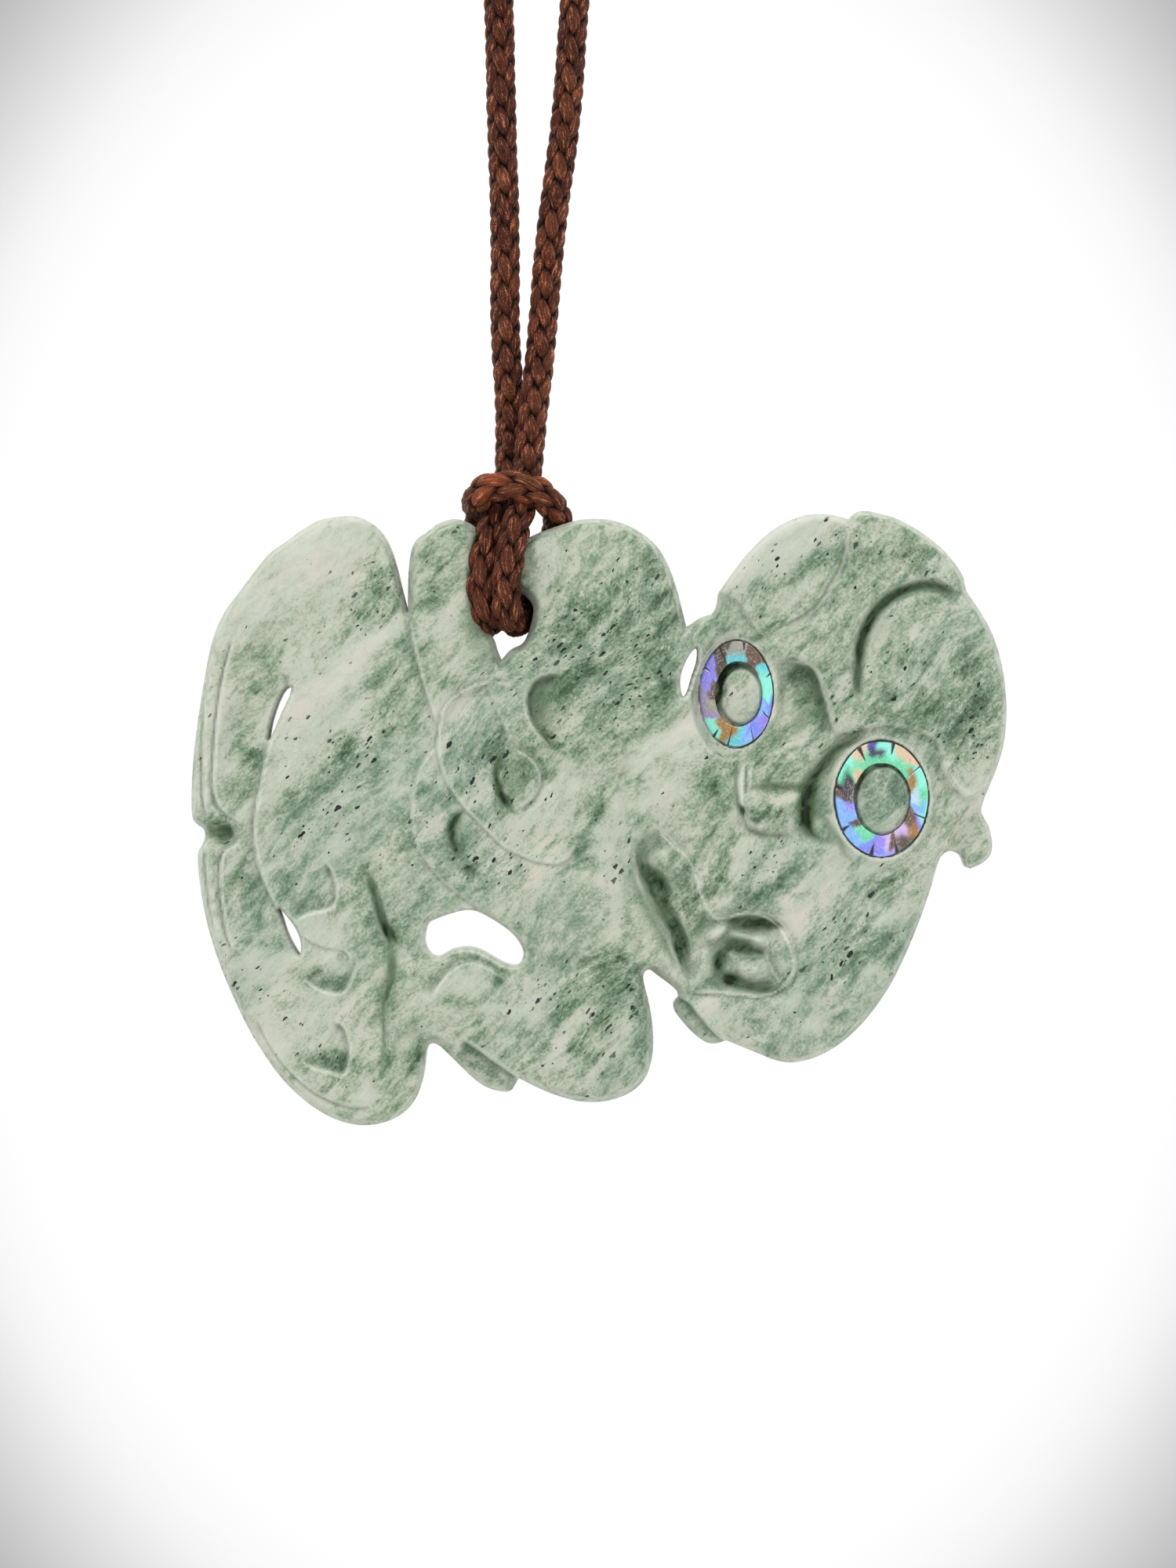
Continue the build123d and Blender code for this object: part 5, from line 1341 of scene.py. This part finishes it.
whipping = buildWhipping(cord)
print("join whipped")

# ---- the shell rings of the eyes
pauaColours = dict(
    teal=(86, 178, 186), aqua=(122, 212, 192), green=(96, 190, 146), sky=(112, 158, 222),
    blue=(108, 124, 214), violet=(128, 118, 208), indigo=(78, 68, 150), lilac=(182, 156, 200),
    silver=(168, 192, 210), peach=(198, 170, 140), gold=(142, 104, 36), brown=(92, 66, 48),
    umber=(72, 60, 50), pewter=(138, 136, 122), ink=(44, 40, 60), mauve=(138, 126, 158),
    resin=(26, 22, 20), paleWisp=(205, 215, 225), darkWisp=(60, 52, 80))


def linear(value):
    value = np.asarray(value, float) / 255
    return np.where(value <= 0.04045, value / 12.92, ((value + 0.055) / 1.055) ** 2.4)


# Degrees from one direction to others, from -180 to 180
def degreesOff(degrees, direction):
    return np.mod(degrees - direction + 180, 360) - 180


# The shell's flakes of colour blend into their neighbours, with edges that wander
def shellTint(eye, degrees, share):
    wander = 5 * np.sin(np.radians(degrees * 5 + share * 200)) \
        + 4 * np.sin(np.radians(degrees * 11 + share * 320 + 40))
    total = np.zeros((len(degrees), 3))
    weights = np.full(len(degrees), 1e-6)
    for direction, out, name in eye["paint"]:
        off = degreesOff(degrees + wander, direction)
        weight = np.exp(-(off / 6) ** 2 - ((share - out) / 0.2) ** 2)
        total += weight[:, None] * linear(pauaColours[name])
        weights += weight
    return total / weights[:, None]


def buildShell(name, eye):
    thick, around = eyeSetup["shellThick"], eyeSetup["around"]
    middle = fromPicture(eye["at"])[0]
    size = np.array(eye["size"]) / reference["pixelsPerMm"]
    shift = np.array(eye["shift"]) * (1, -1) / reference["pixelsPerMm"]
    inner = size * np.array(eye["pupil"])
    angle = turnsOf(around)
    degrees = np.degrees(angle)
    lean = math.tan(math.radians(eye["turn"]))
    wobble = 1 + 0.008 * np.sin(3 * angle + eye["seed"]) + 0.006 * np.sin(7 * angle)
    rings = [(0.0, -thick), *eyeSetup["profile"], (1.0, -thick)]
    points, masks, ways, tints = [], [], [], []
    for share, rise in rings:
        ex, ez = inner + (size - inner) * share
        x = middle[0] + shift[0] * (1 - share) + ex * np.cos(angle) * wobble
        z = middle[1] + shift[1] * (1 - share) + ez * np.sin(angle) * wobble
        nick = np.zeros(around)
        for direction, reach, wide in eye["nicks"]:
            cut = np.clip((share - (1 - reach)) / reach, 0, 1)
            off = np.radians(np.abs(degreesOff(degrees, direction))) * size.mean()
            notch = 1 - smoothStep(off, wide * (0.1 + 0.5 * cut), wide * (0.35 + 0.7 * cut))
            nick = np.maximum(nick, notch * (cut > 0))
        edging = np.full(around, smoothStep(share, *eyeSetup["edging"]))
        if eye["faint"] is not None:
            off = degreesOff(degrees, eye["faint"]) / eyeSetup["faintHalf"]
            edging *= 1 - 0.9 * np.exp(-off ** 4)
        height = eye["face"] + (x - middle[0]) * lean + rise
        if rise > -thick and share < 0.93:
            height = height - eyeSetup["nickDepth"] * nick
        points.append(np.stack([x, -height, z], 1))
        masks.append(np.maximum(nick, edging))
        ways.append(np.stack([np.cos(angle), np.sin(angle), np.full(around, share)], 1))
        tints.append(shellTint(eye, degrees, share))
    return quadMesh(name, np.vstack(points), sheetFaces(len(rings), around)[:, ::-1],
                    resin=np.concatenate(masks), around=np.vstack(ways), tint=np.vstack(tints))


shells = {key: buildShell(key + "PauaRing", eye) for key, eye in eyes.items()}
print("eyes set")

# ---- materials


def feed(tree, socket, value):
    if isinstance(value, bpy.types.NodeSocket):
        tree.links.new(value, socket)
    else:
        socket.default_value = value


def feedAll(tree, node, inputs):
    for key, value in inputs.items():
        feed(tree, node.inputs[key], value)


def addNode(tree, kind, inputs={}, **settings):
    made = tree.nodes.new(kind)
    for key, value in settings.items():
        setattr(made, key, value)
    feedAll(tree, made, inputs)
    return made


# A value or vector that the mesh carries
def carried(tree, name, output="Fac"):
    return addNode(tree, "ShaderNodeAttribute", attribute_name=name).outputs[output]


def colour(red, green, blue):
    return (*linear((red, green, blue)).tolist(), 1)


def ramp(tree, value, stops):
    made = addNode(tree, "ShaderNodeValToRGB", {"Fac": value})
    elements = made.color_ramp.elements
    while len(elements) < len(stops):
        elements.new(0.5)
    for element, (position, shade) in zip(elements, stops):
        element.position = position
        element.color = shade if isinstance(shade, tuple) else (shade, shade, shade, 1)
    return made.outputs["Color"]


def mixColour(tree, share, first, second, blend="MIX"):
    made = addNode(tree, "ShaderNodeMix", data_type="RGBA", blend_type=blend)
    for key, value in (("Factor", share), ("A", first), ("B", second)):
        feed(tree, next(s for s in made.inputs if s.name == key and s.enabled), value)
    return next(s for s in made.outputs if s.enabled)


def calc(tree, operation, first, second=0.0, clamp=False):
    return addNode(tree, "ShaderNodeMath", {0: first, 1: second}, operation=operation,
                   use_clamp=clamp).outputs[0]


def plus(tree, first, second):
    return calc(tree, "ADD", first, second)


def times(tree, first, second, clamp=False):
    return calc(tree, "MULTIPLY", first, second, clamp)


# first + second * scale, for vectors
def shifted(tree, first, second, scale):
    return addNode(tree, "ShaderNodeVectorMath", {0: second, 1: scale, 2: first},
                   operation="MULTIPLY_ADD").outputs[0]


def mapped(tree, vector, **inputs):
    return addNode(tree, "ShaderNodeMapping", dict(Vector=vector, **inputs)).outputs[0]


def noise(tree, vector, scale, detail, roughness=0.5, distortion=0.0, output="Fac"):
    return addNode(tree, "ShaderNodeTexNoise", {
        "Vector": vector, "Scale": scale, "Detail": detail, "Roughness": roughness,
        "Distortion": distortion}).outputs[output]


def bumped(tree, height, strength, distance):
    return addNode(tree, "ShaderNodeBump", {
        "Height": height, "Strength": strength, "Distance": distance}).outputs[0]


def newMaterial(name):
    made = bpy.data.materials.new(name)
    made.use_nodes = True
    return made, made.node_tree, made.node_tree.nodes["Principled BSDF"]


# The nephrite: pale grey green with darker streaks that rise to the right
nephriteColours = dict(
    pale=colour(178, 181, 170), light=colour(163, 169, 153), middle=colour(139, 151, 131),
    green=colour(106, 126, 103), dark=colour(70, 91, 68), deep=colour(40, 56, 38),
    # the second and third colours on this line are painted shade, and the last ones on the next
    # two lines are a painted highlight and painted light
    fleck=colour(22, 30, 24), hollow=colour(24, 38, 22), shadeGreen=colour(84, 108, 76),
    cream=colour(188, 180, 168), blue=colour(122, 146, 138), edgeHighlight=colour(196, 198, 189),
    edge=colour(196, 200, 188))
nephriteSetup = dict(
    streakTurn=46, roughness=0.45, specular=0.22, subsurface=0.35,
    subsurfaceRadius=(0.0007, 0.0009, 0.0006), bumpStrength=0.14, bumpDistance=0.00012,
    bendScale=0.11, bends=(2.4, 0.0, 2.4), streakSquash=0.8,
    # how pale the marbling is at tone 0, what the charted tone adds, and how it quietens it
    middleTone=0.517, toneShift=0.25, contrast=0.95, toneQuiet=-0.3,
    # how strongly the painted shade of hollows and dark places, and the painted light of edges,
    # are mixed in
    hollowMoss=0.6, darkShadeShare=1.25, darkPower=1.7, edgeLightShare=0.75,
    fleckSmallest=0.09, fleckEdge=0.06, fleckFray=(0.42, 0.42, 0.42),
    # stretch along the streaks, scale, detail, roughness, distortion and share in the marbling
    layers=dict(broad=(0.26, 0.11, 3, 0.55, 0.8, 0.2), streaks=(0.24, 0.62, 4, 0.55, 0.8, 0.52),
                blotches=(0.5, 0.95, 5, 0.6, 0.5, 0.54), smears=(0.4, 2.0, 4, 0.6, 0.5, 0.58),
                grain=(0.75, 5.5, 2, 0.6, 0.0, 0.46)),
    # scale, largest size, share taken in a drift and elsewhere, strength
    flecks=[(1.8, 0.24, 0.46, 0.008, 0.7), (3.4, 0.26, 0.36, 0.02, 0.55)])


# Small flecks: cells taken by chance, more of them in the drifts
def addFlecks(tree, base, place):
    flat = mapped(tree, place, Scale=(0.5, 0.3, 1.0), Rotation=(math.pi / 2, 0, 0))
    frayed = noise(tree, place, 1.7, 2, output="Color")
    flat = shifted(tree, flat, frayed, nephriteSetup["fleckFray"])
    drift = carried(tree, "drift")
    for scale, largest, share, always, strength in nephriteSetup["flecks"]:
        cells = addNode(tree, "ShaderNodeTexVoronoi", {
            "Vector": flat, "Scale": scale, "Randomness": 1.0}, voronoi_dimensions="2D")
        chance = addNode(tree, "ShaderNodeSeparateXYZ", {"Vector": cells.outputs["Color"]}).outputs
        size = plus(tree, times(tree, times(tree, chance["Y"], chance["Y"]), largest),
                    nephriteSetup["fleckSmallest"])
        inside = calc(tree, "SUBTRACT", size, cells.outputs["Distance"])
        fleck = calc(tree, "DIVIDE", inside, nephriteSetup["fleckEdge"], True)
        picked = calc(tree, "LESS_THAN", chance["X"],
                      plus(tree, times(tree, drift, share), always))
        fleck = times(tree, times(tree, fleck, picked),
                      plus(tree, times(tree, chance["Z"], 0.5), strength))
        base = mixColour(tree, fleck, base, nephriteColours["fleck"])
    return base


def nephriteGroup():
    tree = bpy.data.node_groups.new("nephriteMarbling", "ShaderNodeTree")
    tree.interface.new_socket("Color", in_out="OUTPUT", socket_type="NodeSocketColor")
    tree.interface.new_socket("Height", in_out="OUTPUT", socket_type="NodeSocketFloat")
    out = addNode(tree, "NodeGroupOutput")
    c, setup = nephriteColours, nephriteSetup
    place = addNode(tree, "ShaderNodeTexCoord").outputs["Object"]
    # millimetres, x along the streaks, which bend a little from place to place
    straight = mapped(tree, place, Rotation=(0, math.radians(setup["streakTurn"]), 0),
                      Scale=(1000, 1000, 1000))
    bends = noise(tree, straight, setup["bendScale"], 1, output="Color")
    turned = shifted(tree, straight, bends, setup["bends"])

    def streaky(stretch, *rest):
        scale = (stretch, setup["streakSquash"], 1.0)
        return noise(tree, mapped(tree, turned, Scale=scale), *rest)

    layers = {name: streaky(*values[:-1]) for name, values in setup["layers"].items()}
    tone = carried(tree, "tone")
    mix = 0.0
    for name, values in setup["layers"].items():
        mix = plus(tree, times(tree, calc(tree, "SUBTRACT", layers[name], 0.5), values[-1]), mix)
    # the pale stone is quieter
    mix = times(tree, mix, plus(tree, times(tree, tone, setup["toneQuiet"]), setup["contrast"]))
    shift = plus(tree, times(tree, tone, setup["toneShift"]), setup["middleTone"])
    mix = plus(tree, mix, shift)
    base = ramp(tree, mix, [(0.06, c["deep"]), (0.24, c["dark"]), (0.38, c["green"]),
                            (0.49, c["middle"]), (0.60, c["light"]), (0.80, c["pale"])])
    # a bluer cast here and there, and a cream one where the stone is pale
    cast = ramp(tree, streaky(0.26, 0.16, 2, 0.5, 0.5), [(0.48, 0.0), (0.68, 0.2)])
    base = mixColour(tree, cast, base, c["blue"])
    cast = ramp(tree, streaky(0.5, 0.3, 3, 0.6, 0.4), [(0.5, 0.0), (0.66, 0.5)])
    paleStone = ramp(tree, mix, [(0.5, 0.0), (0.64, 1.0)])
    base = mixColour(tree, times(tree, cast, paleStone), base, c["cream"])
    base = addFlecks(tree, base, turned)
    # painted shade: hollows and the charted dark places get a darker green, broken up by the
    # marbling; painted highlight: raised edges are paler
    deep = ramp(tree, carried(tree, "hollow"), [(0.12, 0.0), (0.7, 1.0)])
    base = mixColour(tree, times(tree, deep, setup["hollowMoss"]), base, c["shadeGreen"])
    broken = times(tree, plus(tree, layers["blotches"], layers["smears"]), 1.9)
    uneven = times(tree, carried(tree, "dark"), plus(tree, broken, -0.9), True)
    base = mixColour(tree, times(tree, uneven, setup["darkShadeShare"], True), base, c["shadeGreen"])
    darkest = calc(tree, "POWER", uneven, setup["darkPower"])
    base = mixColour(tree, darkest, base, c["hollow"])
    edgeHighlight = ramp(tree, carried(tree, "edgeHighlight"), [(0.03, 0.0), (0.14, 0.3)])
    base = mixColour(tree, edgeHighlight, base, c["edgeHighlight"])
    # painted light at the rim, the pierced gaps and the highlight lines
    pale = times(tree, carried(tree, "pale"), setup["edgeLightShare"], True)
    base = mixColour(tree, pale, base, c["edge"])
    height = plus(tree, times(tree, layers["smears"], 0.7), times(tree, layers["grain"], 0.35))
    feedAll(tree, out, {"Color": base, "Height": height})
    return tree


def stoneMaterial():
    made, tree, shader = newMaterial("polishedNephrite")
    setup = nephriteSetup
    marbling = addNode(tree, "ShaderNodeGroup", node_tree=nephriteGroup()).outputs
    feedAll(tree, shader, {
        "Base Color": marbling["Color"], "Roughness": setup["roughness"], "IOR": 1.5,
        "Normal": bumped(tree, marbling["Height"], setup["bumpStrength"], setup["bumpDistance"]),
        "Specular IOR Level": setup["specular"], "Subsurface Weight": setup["subsurface"],
        "Subsurface Radius": setup["subsurfaceRadius"], "Subsurface Scale": 1.0})
    return made


# The cord's fibre tones, whose light end is partly painted glints, the painted shade of its
# crevices, and the tints of its lumps from the dullest to the painted light of the bight
cordColours = dict(deep=colour(7, 3, 2), dark=colour(12, 5, 3), middle=colour(76, 35, 21),
                   light=colour(214, 134, 96), dull=colour(52, 22, 13), warm=colour(90, 44, 26),
                   bright=colour(126, 72, 46), bight=colour(196, 98, 56))
cordLook = dict(fibreScale=(1.2, 6.0, 1.0), fibreTurn=0.35, fuzzAndGlintScale=8500.0, fuzzAndGlint=0.3,
                # the second value here is how strongly the crevices get painted shade
                tinted=0.3, creviceShade=0.92, bump=0.00025, roughness=0.6, specular=0.15)


def cordMaterial():
    made, tree, shader = newMaterial("waxedBraid")
    c, look = cordColours, cordLook
    fibres = mapped(tree, carried(tree, "strand", "Vector"), Scale=look["fibreScale"],
                    Rotation=(0, 0, look["fibreTurn"]))
    place = addNode(tree, "ShaderNodeTexCoord").outputs["Object"]
    # fine fuzz over the fibres; its bright end paints glints on them
    fuzzAndGlint = calc(tree, "SUBTRACT", noise(tree, place, look["fuzzAndGlintScale"], 1), 0.5)
    fibre = plus(tree, noise(tree, fibres, 1.0, 3, 0.7), times(tree, fuzzAndGlint, look["fuzzAndGlint"]))
    base = ramp(tree, fibre, [(0.34, c["dark"]), (0.46, c["middle"]), (0.54, c["middle"]),
                              (0.68, c["light"])])
    tint = ramp(tree, carried(tree, "shade"), [(0.0, c["dull"]), (0.3, c["warm"]),
                                               (0.6, c["bright"]), (1.0, c["bight"])])
    base = mixColour(tree, look["tinted"], base, tint)
    # painted shade: the crevices between the lumps, the core and the hollows of the whipping are
    # darkened
    creviceShade = ramp(tree, carried(tree, "rise"), [(0.24, 1.0), (0.74, 0.0)])
    base = mixColour(tree, times(tree, creviceShade, look["creviceShade"]), base, c["deep"])
    feedAll(tree, shader, {
        "Base Color": base, "Normal": bumped(tree, fibre, 1.0, look["bump"]),
        "Roughness": look["roughness"], "Specular IOR Level": look["specular"]})
    return made


# Pale and dark wisps over the charted tints of the shell
pauaLook = dict(wisps=(7.0, 4, 0.65, 1.5), paleWisps=[(0.52, 0.0), (0.72, 0.45)],
                darkWisps=[(0.28, 0.55), (0.42, 0.0)], roughness=0.22, coat=0.4,
                coatRoughness=0.1)


def pauaMaterial(key):
    made, tree, shader = newMaterial(key + "PauaShell")
    wisps = noise(tree, carried(tree, "around", "Vector"), *pauaLook["wisps"])
    base = mixColour(tree, ramp(tree, wisps, pauaLook["paleWisps"]),
                     carried(tree, "tint", "Vector"), colour(*pauaColours["paleWisp"]))
    base = mixColour(tree, ramp(tree, wisps, pauaLook["darkWisps"]), base,
                     colour(*pauaColours["darkWisp"]))
    base = mixColour(tree, carried(tree, "resin"), base, colour(*pauaColours["resin"]))
    feedAll(tree, shader, {
        "Base Color": base, "Roughness": pauaLook["roughness"],
        "Coat Weight": pauaLook["coat"], "Coat Roughness": pauaLook["coatRoughness"]})
    return made


def dress(made, material, node):
    made.data.materials.append(material)
    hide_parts(node)
    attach(made, "root")


dress(stone, stoneMaterial(), "tiki_body")
braidLook = cordMaterial()
dress(neckLoop, braidLook, "neck_cord")
dress(hitch, braidLook, "hitch")
dress(whipping, braidLook, "cord_join")
for key, eye in eyes.items():
    dress(shells[key], pauaMaterial(key), eye["node"])
print("materials made")

# ---- studio
studioSetup = dict(
    floorHeight=-0.44, floorHalf=0.42, surround=0.9, backdrop=2.4, backdropShown=1.01,
    lightsAim=(0, 0, -0.29),
    # place, width and height in metres, and watts
    lights=dict(keyLight=((-0.22, -0.34, 0.12), (0.26, 0.26), 1.95),
                fillLight=((0.34, -0.40, -0.21), (0.3, 0.3), 0.82)),
    # how bright the backdrop is, from the picture's middle to its corners
    corners=[(0.51, 1.0), (0.5385, 0.985), (0.5665, 0.955), (0.5945, 0.895), (0.6225, 0.80),
             (0.6505, 0.70), (0.68, 0.595), (0.71, 0.50)])


def makeFloor():
    half, z = studioSetup["floorHalf"], studioSetup["floorHeight"]
    mesh = bpy.data.meshes.new("studioFloor")
    mesh.from_pydata([(-half, -half, z), (half, -half, z), (half, half, z), (-half, half, z)],
                     [], [(0, 1, 2, 3)])
    floor = addObject("studioFloor", mesh)
    made, tree, shader = newMaterial("paleFloor")
    feedAll(tree, shader, {"Base Color": (0.8, 0.8, 0.8, 1), "Roughness": 0.6})
    mesh.materials.append(made)


def makeWorld():
    world = bpy.data.worlds.new("studioWorld")
    bpy.context.scene.world = world
    world.use_nodes = True
    tree = world.node_tree
    tree.nodes.clear()
    way = addNode(tree, "ShaderNodeTexCoord").outputs["Generated"]
    parts = addNode(tree, "ShaderNodeSeparateXYZ", {"Vector": way}).outputs
    # how far from straight ahead, so that the corners of the picture go grey with painted shade
    edge = cameraSetup["frameHeight"] / 2 / cameraSetup["distance"]
    forward = calc(tree, "MAXIMUM", calc(tree, "ABSOLUTE", parts["Y"]), 0.01)
    across, upward = (
        calc(tree, "DIVIDE", calc(tree, "DIVIDE", parts[axis], forward), limit)
        for axis, limit in (("X", edge * 0.75), ("Z", edge)))
    reach = calc(tree, "SQRT", plus(tree, times(tree, across, across),
                                    times(tree, upward, upward)))
    shown = ramp(tree, times(tree, reach, 0.5), studioSetup["corners"])
    seen = addNode(tree, "ShaderNodeBackground", {
        "Color": shown, "Strength": studioSetup["backdropShown"]})
    height = ramp(tree, plus(tree, times(tree, parts["Z"], 0.5), 0.5),
                  [(0.1, 0.55), (0.5, 0.8), (0.9, 1.0)])
    behind = ramp(tree, parts["Y"], [(0.0, 1.0), (0.8, studioSetup["backdrop"])])
    lit = addNode(tree, "ShaderNodeBackground", {
        "Color": mixColour(tree, 1.0, height, behind, "MULTIPLY"),
        "Strength": studioSetup["surround"]})
    cameraRay = addNode(tree, "ShaderNodeLightPath").outputs["Is Camera Ray"]
    mixed = addNode(tree, "ShaderNodeMixShader", {0: cameraRay, 1: lit.outputs[0],
                                                  2: seen.outputs[0]})
    addNode(tree, "ShaderNodeOutputWorld", {"Surface": mixed.outputs[0]})


def makeLights():
    aim = Vector(studioSetup["lightsAim"])
    for name, (place, size, watts) in studioSetup["lights"].items():
        data = bpy.data.lights.new(name, "AREA")
        data.shape = "RECTANGLE"
        data.size, data.size_y = size
        data.energy = watts
        light = addObject(name, data)
        light.location = place
        light.rotation_euler = (aim - Vector(place)).to_track_quat("-Z", "Y").to_euler()


makeFloor()
makeWorld()
makeLights()
bpy.context.scene.view_settings.view_transform = "Standard"
print("studio lit")
